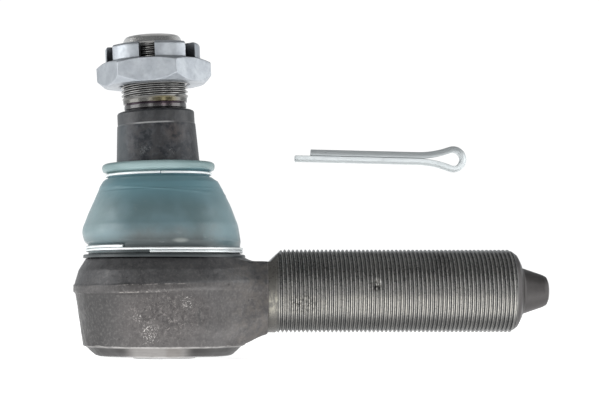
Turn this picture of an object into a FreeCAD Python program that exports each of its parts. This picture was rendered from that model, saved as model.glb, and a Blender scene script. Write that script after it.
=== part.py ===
import FreeCAD, Part
import math
import os
import Sketcher

# Tie rod end: forged head with a preloaded ball stud, rubber boot, threaded
# shank, castle nut and a loose split pin.  Millimetres.
# Origin: centre of the ball.  +X along the shank, +Z up the socket axis.

DIMS = [
    # ball stud, measured along its own axis from the ball centre
    ("ball_radius", 17.0),
    ("ball_flat", 14.5),
    ("stud_lean", 3.0),
    ("neck_radius", 11.5),
    ("neck_top", 28.0),
    ("taper_start", 40.5),
    ("taper_radius", 15.25),
    ("taper_end", 60.6),
    ("taper_end_radius", 13.99),
    ("land_radius", 13.9),
    ("land_end", 64.2),
    ("relief_radius", 11.2),
    ("relief_start", 65.3),
    ("relief_end", 68.6),
    ("stud_thread_radius", 12.0),
    ("stud_thread_start", 69.25),
    ("stud_thread_end", 89.0),
    ("stud_end", 92.0),
    ("stud_end_radius", 9.4),
    ("pin_hole_radius", 2.6),
    ("pin_hole_height", 85.6),
    ("pin_hole_turn", -36.7),
    ("thread_pitch", 1.5),
    ("thread_depth", 0.92),
    ("groove_mouth", 1.31),
    ("groove_root", 0.2),
    # head of the housing, radius and height
    ("head_radius", 32.6),
    ("head_top", 11.6),
    ("head_top_radius", 28.0),
    ("shoulder_radius", 30.8),
    ("shoulder_height", 7.3),
    ("band_top", 1.8),
    ("band_bottom", 1.0),
    ("draft_radius", 31.4),
    ("draft_height", 4.5),
    ("head_bottom", 19.3),
    ("head_bottom_radius", 28.95),
    ("lip_bottom", 23.0),
    ("lip_inner", 21.8),
    ("collar_radius", 25.0),
    ("collar_groove_radius", 24.2),
    ("collar_top", 16.2),
    # inside of the head
    ("bore_radius", 21.0),
    ("bore_top", 8.4),
    ("mouth_radius", 16.8),
    ("mouth_flare", 18.0),
    ("mouth_top", 20.5),
    ("counterbore_radius", 24.5),
    ("counterbore_top", 17.15),
    ("seal_groove_radius", 23.7),
    ("seal_groove_top", 15.5),
    ("plate_seat", 19.95),
    # web between head and shank
    ("web_top", 10.5),
    ("web_parting", 3.0),
    ("web_root_x", 14.0),
    ("web_root_half", 26.5),
    ("web_mid_x", 29.5),
    ("web_mid_half", 18.2),
    ("web_waist_x", 33.4),
    ("web_waist_half", 16.4),
    ("web_end_x", 36.8),
    ("web_end_half", 15.4),
    ("web_bevel", 4.2),
    ("web_under_bevel", 6.5),
    ("web_root_bottom", 19.25),
    ("web_mid_bottom", 19.1),
    ("web_waist_bottom", 16.7),
    ("web_end_bottom", 15.9),
    # shank
    ("shank_radius", 15.0),
    ("shank_thread_start", 42.6),
    ("shank_thread_end", 124.9),
    ("shank_end", 129.3),
    ("lug_root_radius", 8.5),
    ("lug_end_radius", 5.9),
    ("lug_end", 139.0),
    # bearing and closing stack
    ("upper_shell_radius", 20.95),
    ("upper_shell_top", 8.3),
    ("upper_shell_bottom", 1.0),
    ("upper_seat_radius", 17.05),
    ("lower_shell_radius", 20.9),
    ("lower_shell_top", 2.0),
    ("lower_shell_bottom", 14.8),
    ("lower_shell_hole", 9.4),
    ("lower_seat_radius", 17.06),
    ("grease_groove_width", 2.0),
    ("thrust_inner", 10.6),
    ("thrust_outer", 20.8),
    ("thrust_top", 14.85),
    ("thrust_bottom", 15.65),
    ("spring_inner", 11.0),
    ("spring_outer", 19.5),
    ("spring_top", 15.7),
    ("spring_bottom", 17.15),
    ("spring_plate", 0.9),
    ("seal_ring_radius", 22.8),
    ("seal_section", 0.8),
    ("seal_height", 16.35),
    ("plate_radius", 24.4),
    ("plate_top", 17.2),
    ("plate_bottom", 19.9),
    ("pan_inner_top", 13.4),
    ("pan_inner_bottom", 9.9),
    ("pan_inside", 21.2),
    ("pan_outer_top", 14.5),
    ("pan_outer_bottom", 11.9),
    ("pan_foot", 24.1),
    # boot: outer radii and heights, base to top lip
    ("boot_base", 11.8),
    ("bead_radius", 29.0),
    ("bead_top", 12.8),
    ("wire_seat_radius", 27.2),
    ("wire_seat_bottom", 13.2),
    ("wire_seat_top", 16.4),
    ("belly_low_radius", 27.9),
    ("belly_low", 17.9),
    ("belly_radius", 28.1),
    ("belly", 20.8),
    ("flank_radius", 27.0),
    ("flank", 25.2),
    ("waist_radius", 25.4),
    ("waist", 29.4),
    ("upper_radius", 23.45),
    ("upper", 33.6),
    ("crown_radius", 21.5),
    ("crown", 37.9),
    ("neck_seat_radius", 18.1),
    ("neck_seat_bottom", 40.9),
    ("neck_seat_top", 42.5),
    ("lip_low_radius", 19.2),
    ("lip_radius", 20.2),
    ("lip_bulge", 44.4),
    ("lip_top_radius", 19.4),
    ("lip_top", 45.9),
    # the lip sits squarer to the housing than the stud does
    ("lip_pivot", 42.0),
    ("lip_lean", 1.4),
    ("boot_wall", 2.1),
    ("boot_hole", 15.45),
    ("boot_base_hole", 25.08),
    # wire rings
    ("bottom_wire_radius", 0.48),
    ("bottom_coil_radius", 27.74),
    ("bottom_coil_start", 13.72),
    ("bottom_coil_pitch", 1.04),
    ("bottom_coil_turns", 1.9425),
    ("bottom_coil_turn", -99.9),
    ("top_wire_radius", 0.5),
    ("top_coil_radius", 18.68),
    ("top_coil_start", 41.57),
    ("top_coil_pitch", 0.3),
    ("top_coil_turns", 0.985),
    ("top_coil_turn", -85.8),
    # castle nut, heights along the stud
    ("nut_bottom", 74.0),
    ("hex_height", 8.6),
    ("crown_height", 5.7),
    ("hex_across", 36.0),
    ("crown_round", 17.0),
    ("nut_bore", 12.05),
    ("slot_width", 5.5),
    ("nut_turn", -6.7),
    ("hex_bevel", 1.5),
    ("hex_bevel_radius", 17.8),
    ("foot_bevel", 3.4),
    # split pin, along its own axis from the eye's centre
    ("pin_wire_radius", 2.3),
    ("pin_gap", 0.12),
    ("pin_eye", 2.5),
    ("pin_neck_arc", 34.0),
    ("pin_long_leg", 57.8),
    ("pin_short_leg", 52.1),
    ("pin_eye_x", 104.7),
    ("pin_eye_z", 47.9),
    ("pin_slope", 1.1),
]
VALUES = dict(DIMS)

doc = FreeCAD.newDocument("tie_rod_end")
sheet = doc.addObject("Spreadsheet::Sheet", "Dims")
for row, (alias, value) in enumerate(DIMS, start=1):
    sheet.set("A%d" % row, alias)
    sheet.set("B%d" % row, str(value))
    sheet.setAlias("B%d" % row, alias)
doc.recompute()


class Dim:
    """A size and the sheet sum that drives it."""

    def __init__(self, value, text):
        self.value = value
        self.text = text

    def _other(self, other):
        return other if isinstance(other, Dim) else Dim(float(other), repr(float(other)))

    def __add__(self, other):
        o = self._other(other)
        return Dim(self.value + o.value, "(%s + %s)" % (self.text, o.text))

    def __sub__(self, other):
        o = self._other(other)
        return Dim(self.value - o.value, "(%s - %s)" % (self.text, o.text))

    def __mul__(self, other):
        o = self._other(other)
        return Dim(self.value * o.value, "(%s * %s)" % (self.text, o.text))

    def __truediv__(self, other):
        o = self._other(other)
        return Dim(self.value / o.value, "(%s / %s)" % (self.text, o.text))

    def __neg__(self):
        return Dim(-self.value, "(-1 * %s)" % self.text)


def dim(alias):
    return Dim(float(sheet.get(alias)), "Dims." + alias)


def as_dim(value):
    return value if isinstance(value, Dim) else Dim(float(value), None)


def new_body(label):
    body = doc.addObject("PartDesign::Body", label)
    body.Label = label
    return body


def plane(body, role):
    for feature in body.Origin.OriginFeatures:
        if feature.Role == role:
            return feature
    raise RuntimeError("no plane " + role)


def new_sketch(body, name, role, offset=None):
    sketch = body.newObject("Sketcher::SketchObject", name)
    sketch.AttachmentSupport = [(plane(body, role), "")]
    sketch.MapMode = "FlatFace"
    if offset is not None:
        sketch.AttachmentOffset = offset
    return sketch


def bind(sketch, index, value):
    if value.text is not None:
        sketch.setExpression("Constraints[%d]" % index, value.text)


def fix_point(sketch, geometry, position, x, y):
    """Places one sketch point by its distances from the sketch origin."""
    x, y = as_dim(x), as_dim(y)
    for kind, value, axis in (("DistanceX", x, -2), ("DistanceY", y, -1)):
        if value.text is None and value.value == 0.0:
            sketch.addConstraint(Sketcher.Constraint("PointOnObject", geometry, position, axis))
        else:
            index = sketch.addConstraint(
                Sketcher.Constraint(kind, -1, 1, geometry, position, value.value))
            bind(sketch, index, value)


def outline(body, name, role, corners, offset=None):
    """Closed outline of straight edges through corners given as sheet sums."""
    sketch = new_sketch(body, name, role, offset)
    points = [FreeCAD.Vector(as_dim(x).value, as_dim(y).value, 0) for x, y in corners]
    count = len(points)
    for i in range(count):
        sketch.addGeometry(Part.LineSegment(points[i], points[(i + 1) % count]), False)
    for i in range(count):
        sketch.addConstraint(Sketcher.Constraint("Coincident", i, 2, (i + 1) % count, 1))
    for i, (x, y) in enumerate(corners):
        fix_point(sketch, i, 1, x, y)
    return sketch


def circle(body, name, role, x, y, radius, offset=None):
    sketch = new_sketch(body, name, role, offset)
    cx, cy, r = as_dim(x), as_dim(y), as_dim(radius)
    sketch.addGeometry(Part.Circle(FreeCAD.Vector(cx.value, cy.value, 0),
                                   FreeCAD.Vector(0, 0, 1), r.value), False)
    if cx.text is None and cy.text is None and cx.value == 0.0 and cy.value == 0.0:
        sketch.addConstraint(Sketcher.Constraint("Coincident", 0, 3, -1, 1))
    else:
        fix_point(sketch, 0, 3, cx, cy)
    bind(sketch, sketch.addConstraint(Sketcher.Constraint("Radius", 0, r.value)), r)
    return sketch


def revolve(body, name, sketch, axis="V_Axis", kind="PartDesign::Revolution"):
    feature = body.newObject(kind, name)
    feature.Profile = sketch
    feature.ReferenceAxis = (sketch, [axis])
    feature.Angle = 360.0
    sketch.Visibility = False
    return feature


def volume(body):
    doc.recompute()
    return body.Shape.Volume


def must_shrink(body, before, what):
    after = volume(body)
    if not after < before - 1e-3:
        raise RuntimeError("%s cut nothing" % what)
    return after


def thread_grooves(body, name, radius, start, end, axis, vertical):
    """Ring grooves at the thread's pitch with flat crests between them."""
    mouth = dim("groove_mouth") / 2
    root = dim("groove_root") / 2
    depth = dim("thread_depth")
    pitch = dim("thread_pitch")
    first = start + pitch / 2
    turns = int((end.value - first.value - mouth.value) / pitch.value) + 1
    profile = [
        (first - mouth, radius),
        (first - root, radius - depth),
        (first + root, radius - depth),
        (first + mouth, radius),
        (first + mouth, radius + 0.6),
        (first - mouth, radius + 0.6),
    ]
    if vertical:
        profile = [(r, a) for a, r in profile]
    sketch = outline(body, name + "_profile", "XZ_Plane", profile)
    before = volume(body)
    groove = revolve(body, name + "_groove", sketch, axis, "PartDesign::Groove")
    before = must_shrink(body, before, name)
    pattern = body.newObject("PartDesign::LinearPattern", name)
    pattern.Originals = [groove]
    pattern.Direction = (sketch, ["V_Axis" if vertical else "H_Axis"])
    pattern.Occurrences = turns
    pattern.setExpression("Length", "%s * %d" % (pitch.text, turns - 1))
    body.Tip = pattern
    must_shrink(body, before, name + " pattern")
    return turns


LEAN = FreeCAD.Rotation(FreeCAD.Vector(0, 1, 0), -VALUES["stud_lean"])
ORIGIN = FreeCAD.Vector(0, 0, 0)

# ---------------------------------------------------------------- housing
housing = new_body("housing")

# head: turned shape round the socket axis, with the boot's collar on top and
# the rolled lip below
head = outline(housing, "head_profile", "XZ_Plane", [
    (0, dim("collar_top")),
    (dim("collar_radius") - 0.5, dim("collar_top")),
    (dim("collar_radius"), dim("collar_top") - 0.5),
    (dim("collar_radius"), dim("collar_top") - 1.4),
    (dim("collar_groove_radius"), dim("collar_top") - 1.9),
    (dim("collar_groove_radius"), dim("head_top")),
    (dim("head_top_radius"), dim("head_top")),
    (dim("shoulder_radius"), dim("shoulder_height")),
    (dim("head_radius"), dim("band_top")),
    (dim("head_radius"), -dim("band_bottom")),
    (dim("draft_radius"), -dim("draft_height")),
    (dim("head_bottom_radius"), -dim("head_bottom")),
    (dim("head_bottom_radius") - 1.45, -(dim("head_bottom") + 0.6)),
    (dim("head_bottom_radius") - 2.85, -(dim("head_bottom") + 2.0)),
    (dim("head_bottom_radius") - 4.35, -(dim("head_bottom") + 3.3)),
    (dim("head_bottom_radius") - 5.55, -dim("lip_bottom")),
    (0, -dim("lip_bottom")),
])
revolve(housing, "head", head)
doc.recompute()


def web_section(name, at, half, bottom):
    """Eight-sided forging section, widest at the parting line."""
    offset = FreeCAD.Placement(FreeCAD.Vector(0, 0, at.value), FreeCAD.Rotation())
    sketch = outline(housing, name, "YZ_Plane", [
        (half - dim("web_bevel"), dim("web_top")),
        (half, dim("web_parting")),
        (half - 0.5, -(bottom - dim("web_under_bevel"))),
        (half - dim("web_under_bevel"), -bottom),
        (-(half - dim("web_under_bevel")), -bottom),
        (-(half - 0.5), -(bottom - dim("web_under_bevel"))),
        (-half, dim("web_parting")),
        (-(half - dim("web_bevel")), dim("web_top")),
    ], offset)
    sketch.setExpression("AttachmentOffset.Base.z", at.text)
    sketch.Visibility = False
    return sketch


web_sections = [
    web_section("web_root", dim("web_root_x"), dim("web_root_half"), dim("web_root_bottom")),
    web_section("web_mid", dim("web_mid_x"), dim("web_mid_half"), dim("web_mid_bottom")),
    web_section("web_waist", dim("web_waist_x"), dim("web_waist_half"), dim("web_waist_bottom")),
    web_section("web_end", dim("web_end_x"), dim("web_end_half"), dim("web_end_bottom")),
]
web = housing.newObject("PartDesign::AdditiveLoft", "web")
web.Profile = web_sections[0]
web.Sections = web_sections[1:]
web.Ruled = True
doc.recompute()

# shank: turned round +X, with the rounded end and the centring lug
shank = outline(housing, "shank_profile", "XZ_Plane", [
    (dim("web_mid_x"), 0),
    (dim("web_mid_x"), dim("web_top") - 0.6),
    (dim("web_end_x") - 0.3, dim("web_top") - 0.6),
    (dim("web_end_x") - 0.3, dim("shank_radius") - 0.12),
    (dim("web_end_x") + 5.5, dim("shank_radius")),
    (dim("shank_thread_end"), dim("shank_radius")),
    (dim("shank_thread_end") + 0.4, dim("shank_radius") - 0.4),
    (dim("shank_thread_end") + 1.2, dim("shank_radius") - 0.9),
    (dim("shank_thread_end") + 2.4, dim("shank_radius") - 1.8),
    (dim("shank_thread_end") + 3.4, dim("shank_radius") - 3.6),
    (dim("shank_end"), dim("lug_root_radius")),
    (dim("lug_end") - 2.0, dim("lug_end_radius")),
    (dim("lug_end") - 0.6, dim("lug_end_radius") - 0.7),
    (dim("lug_end"), dim("lug_end_radius") - 2.0),
    (dim("lug_end"), 0),
])
revolve(housing, "shank", shank, "H_Axis")
before = volume(housing)

# sloping top where the flat of the web runs up to the shank's full radius
slope = outline(housing, "slope_profile", "XZ_Plane", [
    (dim("web_end_x") - 0.5, dim("web_top")),
    (dim("web_end_x") + 0.7, dim("web_top")),
    (dim("web_end_x") + 5.4, dim("shank_radius") + 0.2),
    (dim("web_end_x") + 5.4, dim("shank_radius") + 3.0),
    (dim("web_end_x") - 0.5, dim("shank_radius") + 3.0),
])
ramp = housing.newObject("PartDesign::Pocket", "ramp")
ramp.Profile = slope
ramp.Type = 0
ramp.Midplane = True
ramp.setExpression("Length", "Dims.shank_radius * 4")
slope.Visibility = False
before = must_shrink(housing, before, "ramp")

# socket: stepped bore closed from below, open to the stud above
bore = outline(housing, "bore_profile", "XZ_Plane", [
    (0, dim("collar_top") + 2),
    (dim("mouth_top"), dim("collar_top") + 2),
    (dim("mouth_top"), dim("collar_top")),
    (dim("mouth_flare"), dim("head_top")),
    (dim("mouth_radius"), dim("bore_top")),
    (dim("bore_radius"), dim("bore_top")),
    (dim("bore_radius"), -dim("seal_groove_top")),
    (dim("seal_groove_radius"), -dim("seal_groove_top")),
    (dim("seal_groove_radius"), -dim("counterbore_top")),
    (dim("counterbore_radius"), -dim("counterbore_top")),
    (dim("counterbore_radius"), -dim("plate_seat")),
    (dim("lip_inner"), -dim("plate_seat")),
    (dim("lip_inner"), -(dim("lip_bottom") + 2)),
    (0, -(dim("lip_bottom") + 2)),
])
revolve(housing, "socket", bore, "V_Axis", "PartDesign::Groove")
before = must_shrink(housing, before, "socket")

shank_turns = thread_grooves(housing, "shank_thread", dim("shank_radius"),
                             dim("shank_thread_start"), dim("shank_thread_end"),
                             "H_Axis", False)

# -------------------------------------------------------------- ball stud
stud = new_body("ball_stud")
stud_profile = outline(stud, "stud_profile", "XZ_Plane", [
    (0, dim("ball_flat") / 3),
    (dim("neck_radius"), dim("ball_flat") / 3),
    (dim("neck_radius"), dim("neck_top")),
    (dim("neck_radius") + 0.35, dim("neck_top") + 3.2),
    (dim("neck_radius") + 1.4, dim("neck_top") + 6.6),
    (dim("taper_radius") - 0.75, dim("taper_start") - 2.2),
    (dim("taper_radius"), dim("taper_start")),
    (dim("taper_end_radius"), dim("taper_end")),
    (dim("land_radius"), dim("taper_end") + 0.1),
    (dim("land_radius"), dim("land_end")),
    (dim("land_radius") - 0.35, dim("land_end") + 0.7),
    (dim("land_radius") - 1.1, dim("relief_start")),
    (dim("relief_radius"), dim("relief_start") + 0.1),
    (dim("relief_radius"), dim("relief_end")),
    (dim("stud_thread_radius"), dim("stud_thread_start")),
    (dim("stud_thread_radius"), dim("stud_thread_end")),
    (dim("stud_end_radius"), dim("stud_end") - 0.3),
    (dim("stud_end_radius") - 0.8, dim("stud_end") - 0.1),
    (0, dim("stud_end")),
])
revolve(stud, "shaft", stud_profile)
doc.recompute()
ball = stud.newObject("PartDesign::AdditiveSphere", "ball")
ball.setExpression("Radius", "Dims.ball_radius")
ball.setExpression("Angle1", "-asin(Dims.ball_flat / Dims.ball_radius)")
ball.Angle2 = 90
ball.Angle3 = 360
thread_grooves(stud, "stud_thread", dim("stud_thread_radius"), dim("stud_thread_start"),
               dim("stud_thread_end"), "V_Axis", True)
before = volume(stud)
cross = circle(stud, "pin_hole_profile", "YZ_Plane", 0, dim("pin_hole_height"),
               dim("pin_hole_radius"))
hole = stud.newObject("PartDesign::Pocket", "pin_hole")
hole.Profile = cross
hole.Type = 0
hole.Midplane = True
hole.setExpression("Length", "Dims.stud_thread_radius * 4")
cross.Visibility = False
must_shrink(stud, before, "pin hole")
stud.Placement = FreeCAD.Placement(
    ORIGIN, LEAN * FreeCAD.Rotation(FreeCAD.Vector(0, 0, 1), VALUES["pin_hole_turn"]))

# ---------------------------------------------------------- bearing shells
upper = new_body("upper_bearing_shell")
upper_profile = outline(upper, "upper_profile", "XZ_Plane", [
    (dim("upper_shell_radius"), -dim("upper_shell_bottom")),
    (dim("upper_shell_radius"), dim("upper_shell_top") - 0.8),
    (dim("upper_shell_radius") - 0.8, dim("upper_shell_top")),
    (dim("upper_seat_radius") - 0.85, dim("upper_shell_top")),
    (dim("upper_seat_radius") - 1.45, dim("upper_shell_top") - 1.5),
    (dim("upper_seat_radius") - 1.45, -dim("upper_shell_bottom")),
])
revolve(upper, "upper_ring", upper_profile)
before = volume(upper)
upper_seat = upper.newObject("PartDesign::SubtractiveSphere", "upper_seat")
upper_seat.setExpression("Radius", "Dims.upper_seat_radius")
before = must_shrink(upper, before, "upper seat")

lower = new_body("lower_bearing_shell")
lower_profile = outline(lower, "lower_profile", "XZ_Plane", [
    (dim("lower_shell_radius"), -dim("lower_shell_top")),
    (dim("lower_shell_radius"), -dim("lower_shell_bottom")),
    (dim("lower_shell_hole"), -dim("lower_shell_bottom")),
    (dim("lower_shell_hole"), -dim("lower_shell_top")),
])
revolve(lower, "lower_ring", lower_profile)
before = volume(lower)
lower_seat = lower.newObject("PartDesign::SubtractiveSphere", "lower_seat")
lower_seat.setExpression("Radius", "Dims.lower_seat_radius")
before = must_shrink(lower, before, "lower seat")


def grease_grooves(body, before, top, bottom):
    """Six upright grease grooves round the seat."""
    half = dim("grease_groove_width") / 2
    reach = dim("upper_seat_radius") + 1.0
    offset = FreeCAD.Placement(FreeCAD.Vector(0, 0, bottom.value), FreeCAD.Rotation())
    sketch = outline(body, body.Name + "_grease", "XY_Plane", [
        (0, half), (reach, half), (reach, -half), (0, -half)], offset)
    sketch.setExpression("AttachmentOffset.Base.z", bottom.text)
    groove = body.newObject("PartDesign::Pocket", body.Name + "_groove")
    groove.Profile = sketch
    groove.Type = 0
    groove.Reversed = True
    groove.setExpression("Length", (top - bottom).text)
    sketch.Visibility = False
    before = must_shrink(body, before, body.Name + " grease groove")
    pattern = body.newObject("PartDesign::PolarPattern", body.Name + "_grooves")
    pattern.Originals = [groove]
    pattern.Axis = (sketch, ["N_Axis"])
    pattern.Angle = 360
    pattern.Occurrences = 6
    body.Tip = pattern
    must_shrink(body, before, body.Name + " grease grooves")


grease_grooves(upper, before, dim("upper_shell_top") - 2.6, -(dim("upper_shell_bottom") + 1.0))

# ------------------------------------------------------------ preload stack
thrust = new_body("thrust_ring")
revolve(thrust, "thrust_plate", outline(thrust, "thrust_profile", "XZ_Plane", [
    (dim("thrust_inner"), -dim("thrust_top")),
    (dim("thrust_outer"), -dim("thrust_top")),
    (dim("thrust_outer"), -dim("thrust_bottom")),
    (dim("thrust_inner"), -dim("thrust_bottom")),
]))

spring = new_body("disc_spring")
revolve(spring, "spring_disc", outline(spring, "spring_profile", "XZ_Plane", [
    (dim("spring_inner"), -dim("spring_top")),
    (dim("spring_outer"), -(dim("spring_bottom") - dim("spring_plate"))),
    (dim("spring_outer"), -dim("spring_bottom")),
    (dim("spring_inner"), -(dim("spring_top") + dim("spring_plate"))),
]))

seal = doc.addObject("Part::Torus", "cover_seal")
seal.Label = "cover_seal"
seal.setExpression("Radius1", "Dims.seal_ring_radius")
seal.setExpression("Radius2", "Dims.seal_section")
seal.Placement = FreeCAD.Placement(FreeCAD.Vector(0, 0, -VALUES["seal_height"]),
                                   FreeCAD.Rotation())
seal.setExpression("Placement.Base.z", "-Dims.seal_height")

plate = new_body("closure_plate")
revolve(plate, "pressed_plate", outline(plate, "plate_profile", "XZ_Plane", [
    (0, -dim("pan_inside")),
    (dim("pan_inner_bottom"), -dim("pan_inside")),
    (dim("pan_inner_top"), -dim("plate_top")),
    (dim("plate_radius"), -dim("plate_top")),
    (dim("plate_radius"), -dim("plate_bottom")),
    (dim("pan_outer_top"), -dim("plate_bottom")),
    (dim("pan_outer_bottom"), -(dim("pan_foot") - 1.1)),
    (dim("pan_outer_bottom") - 0.9, -dim("pan_foot")),
    (0, -dim("pan_foot")),
]))

# -------------------------------------------------------------------- boot
boot = new_body("dust_boot")


def ring_place(height, shift, lean):
    """Where a boot ring lies: its centre, and how far it leans with the stud."""
    turn = FreeCAD.Rotation(FreeCAD.Vector(0, 1, 0), -lean)
    return FreeCAD.Placement(FreeCAD.Vector(shift, 0, height), turn)


def lip_place(along):
    """A ring of the top lip, which leans less than the stud it grips."""
    stud_lean = math.radians(VALUES["stud_lean"])
    lean = math.radians(VALUES["lip_lean"])
    seat = VALUES["lip_pivot"]
    return ring_place(seat * math.cos(stud_lean) + (along - seat) * math.cos(lean),
                      -seat * math.sin(stud_lean) - (along - seat) * math.sin(lean),
                      VALUES["lip_lean"])


def loft(body, name, rings, kind):
    sections = []
    for i, (radius, place) in enumerate(rings):
        sketch = circle(body, "%s_ring_%02d" % (name, i), "XY_Plane", 0, 0, radius, place)
        sketch.Visibility = False
        sections.append(sketch)
    feature = body.newObject(kind, name)
    feature.Profile = sections[0]
    feature.Sections = sections[1:]
    feature.Ruled = True
    return feature


loft(boot, "boot_outside", [
    (dim("bead_radius"), ring_place(VALUES["boot_base"], 0, 0)),
    (dim("bead_radius"), ring_place(VALUES["bead_top"], 0, 0)),
    (dim("wire_seat_radius"), ring_place(VALUES["wire_seat_bottom"], 0, 0)),
    (dim("wire_seat_radius"), ring_place(VALUES["wire_seat_top"], 0, 0)),
    (dim("belly_low_radius"), ring_place(VALUES["belly_low"], -0.6, 0.2)),
    (dim("belly_radius"), ring_place(VALUES["belly"], -1.3, 0.5)),
    (dim("flank_radius"), ring_place(VALUES["flank"], -1.45, 1.0)),
    (dim("waist_radius"), ring_place(VALUES["waist"], -1.6, 1.6)),
    (dim("upper_radius"), ring_place(VALUES["upper"], -1.8, 2.0)),
    (dim("crown_radius"), ring_place(VALUES["crown"], -2.05, 2.6)),
    (dim("neck_seat_radius") + 1.0, lip_place(VALUES["neck_seat_bottom"] - 0.5)),
    (dim("neck_seat_radius"), lip_place(VALUES["neck_seat_bottom"])),
    (dim("neck_seat_radius"), lip_place(VALUES["neck_seat_top"])),
    (dim("lip_low_radius"), lip_place(VALUES["neck_seat_top"] + 0.3)),
    (dim("lip_radius"), lip_place(VALUES["lip_bulge"])),
    (dim("lip_top_radius"), lip_place(VALUES["lip_top"])),
], "PartDesign::AdditiveLoft")
before = volume(boot)
wall = dim("boot_wall")
loft(boot, "boot_inside", [
    (dim("boot_base_hole"), ring_place(VALUES["boot_base"] - 1.0, 0, 0)),
    (dim("boot_base_hole"), ring_place(VALUES["wire_seat_top"] + 0.3, 0, 0)),
    (dim("belly_low_radius") - wall, ring_place(VALUES["belly_low"] + 0.4, -0.6, 0.2)),
    (dim("belly_radius") - wall, ring_place(VALUES["belly"], -1.3, 0.5)),
    (dim("flank_radius") - wall, ring_place(VALUES["flank"], -1.45, 1.0)),
    (dim("waist_radius") - wall, ring_place(VALUES["waist"], -1.6, 1.6)),
    (dim("upper_radius") - wall, ring_place(VALUES["upper"], -1.8, 2.0)),
    (dim("crown_radius") - wall - 0.4, ring_place(VALUES["crown"] - 0.6, -2.05, 2.6)),
    (dim("boot_hole") + 0.6, lip_place(VALUES["neck_seat_bottom"] - 1.4)),
    (dim("boot_hole"), lip_place(VALUES["neck_seat_bottom"] - 0.6)),
    (dim("boot_hole"), lip_place(VALUES["lip_top"] + 1.0)),
], "PartDesign::SubtractiveLoft")
must_shrink(boot, before, "boot inside")

# -------------------------------------------------------------- wire rings


def wire_ring(label, wire, coil, start, pitch, turns):
    body = new_body(label)
    sketch = circle(body, label + "_wire", "XZ_Plane", dim(coil), dim(start), dim(wire))
    sketch.Visibility = False
    helix = body.newObject("PartDesign::AdditiveHelix", label + "_coil")
    helix.Profile = sketch
    helix.ReferenceAxis = (sketch, ["V_Axis"])
    helix.Mode = "pitch-turns-angle"
    helix.setExpression("Pitch", "Dims." + pitch)
    helix.setExpression("Turns", "Dims." + turns)
    helix.Angle = 0
    helix.LeftHanded = False
    helix.Reversed = False
    return body


bottom_clamp = wire_ring("boot_bottom_clamp", "bottom_wire_radius", "bottom_coil_radius",
                         "bottom_coil_start", "bottom_coil_pitch", "bottom_coil_turns")
bottom_clamp.Placement = FreeCAD.Placement(
    ORIGIN, FreeCAD.Rotation(FreeCAD.Vector(0, 0, 1), VALUES["bottom_coil_turn"]))
top_clamp = wire_ring("boot_top_clamp", "top_wire_radius", "top_coil_radius",
                      "top_coil_start", "top_coil_pitch", "top_coil_turns")
top_clamp.Placement = FreeCAD.Placement(
    lip_place(0).Base,
    lip_place(0).Rotation * FreeCAD.Rotation(FreeCAD.Vector(0, 0, 1), VALUES["top_coil_turn"]))

# -------------------------------------------------------------- castle nut
nut = new_body("castle_nut")
root3 = math.sqrt(3.0)
half = dim("hex_across") / 2
corner = dim("hex_across") / root3
foot = FreeCAD.Placement(FreeCAD.Vector(0, 0, VALUES["nut_bottom"]), FreeCAD.Rotation())
hexagon = outline(nut, "hexagon", "XY_Plane", [
    (corner / 2, half), (corner, 0), (corner / 2, -half),
    (-(corner / 2), -half), (-corner, 0), (-(corner / 2), half),
], foot)
hexagon.setExpression("AttachmentOffset.Base.z", "Dims.nut_bottom")
hex_pad = nut.newObject("PartDesign::Pad", "hex_pad")
hex_pad.Profile = hexagon
hex_pad.Type = 0
hex_pad.setExpression("Length", "Dims.hex_height")
hexagon.Visibility = False
doc.recompute()
crown = circle(nut, "crown_round_profile", "XY_Plane", 0, 0, dim("crown_round"), foot)
crown.setExpression("AttachmentOffset.Base.z", "Dims.nut_bottom")
crown_pad = nut.newObject("PartDesign::Pad", "crown_pad")
crown_pad.Profile = crown
crown_pad.Type = 0
crown_pad.setExpression("Length", "Dims.hex_height + Dims.crown_height")
crown.Visibility = False
before = volume(nut)
# corners turned off at the bearing face and where the crown starts
far = corner + 1
bevel = outline(nut, "bevel_profile", "XZ_Plane", [
    (dim("hex_bevel_radius"), dim("nut_bottom") - 0.2),
    (far, dim("nut_bottom") - 0.2),
    (far, dim("nut_bottom") + dim("foot_bevel")),
])
revolve(nut, "foot_bevel", bevel, "V_Axis", "PartDesign::Groove")
before = must_shrink(nut, before, "foot bevel")
bevel_top = outline(nut, "bevel_top_profile", "XZ_Plane", [
    (dim("hex_bevel_radius"), dim("nut_bottom") + dim("hex_height") + 0.2),
    (far, dim("nut_bottom") + dim("hex_height") + 0.2),
    (far, dim("nut_bottom") + dim("hex_height") - dim("hex_bevel")),
])
revolve(nut, "top_bevel", bevel_top, "V_Axis", "PartDesign::Groove")
before = must_shrink(nut, before, "top bevel")
crown_edge = outline(nut, "crown_edge_profile", "XZ_Plane", [
    (dim("crown_round") - 0.9, dim("nut_bottom") + dim("hex_height") + dim("crown_height") + 0.1),
    (dim("crown_round") + 0.5, dim("nut_bottom") + dim("hex_height") + dim("crown_height") + 0.1),
    (dim("crown_round") + 0.5, dim("nut_bottom") + dim("hex_height") + dim("crown_height") - 1.3),
])
revolve(nut, "crown_bevel", crown_edge, "V_Axis", "PartDesign::Groove")
before = must_shrink(nut, before, "crown bevel")
bore_sketch = outline(nut, "nut_bore_profile", "XZ_Plane", [
    (0, dim("nut_bottom") - 1),
    (dim("nut_bore") + 1.9, dim("nut_bottom") - 1),
    (dim("nut_bore"), dim("nut_bottom") + 0.9),
    (dim("nut_bore"), dim("nut_bottom") + dim("hex_height") + dim("crown_height") - 0.6),
    (dim("nut_bore") + 0.9, dim("nut_bottom") + dim("hex_height") + dim("crown_height") + 0.3),
    (dim("nut_bore") + 0.9, dim("nut_bottom") + dim("hex_height") + dim("crown_height") + 1),
    (0, dim("nut_bottom") + dim("hex_height") + dim("crown_height") + 1),
])
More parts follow.
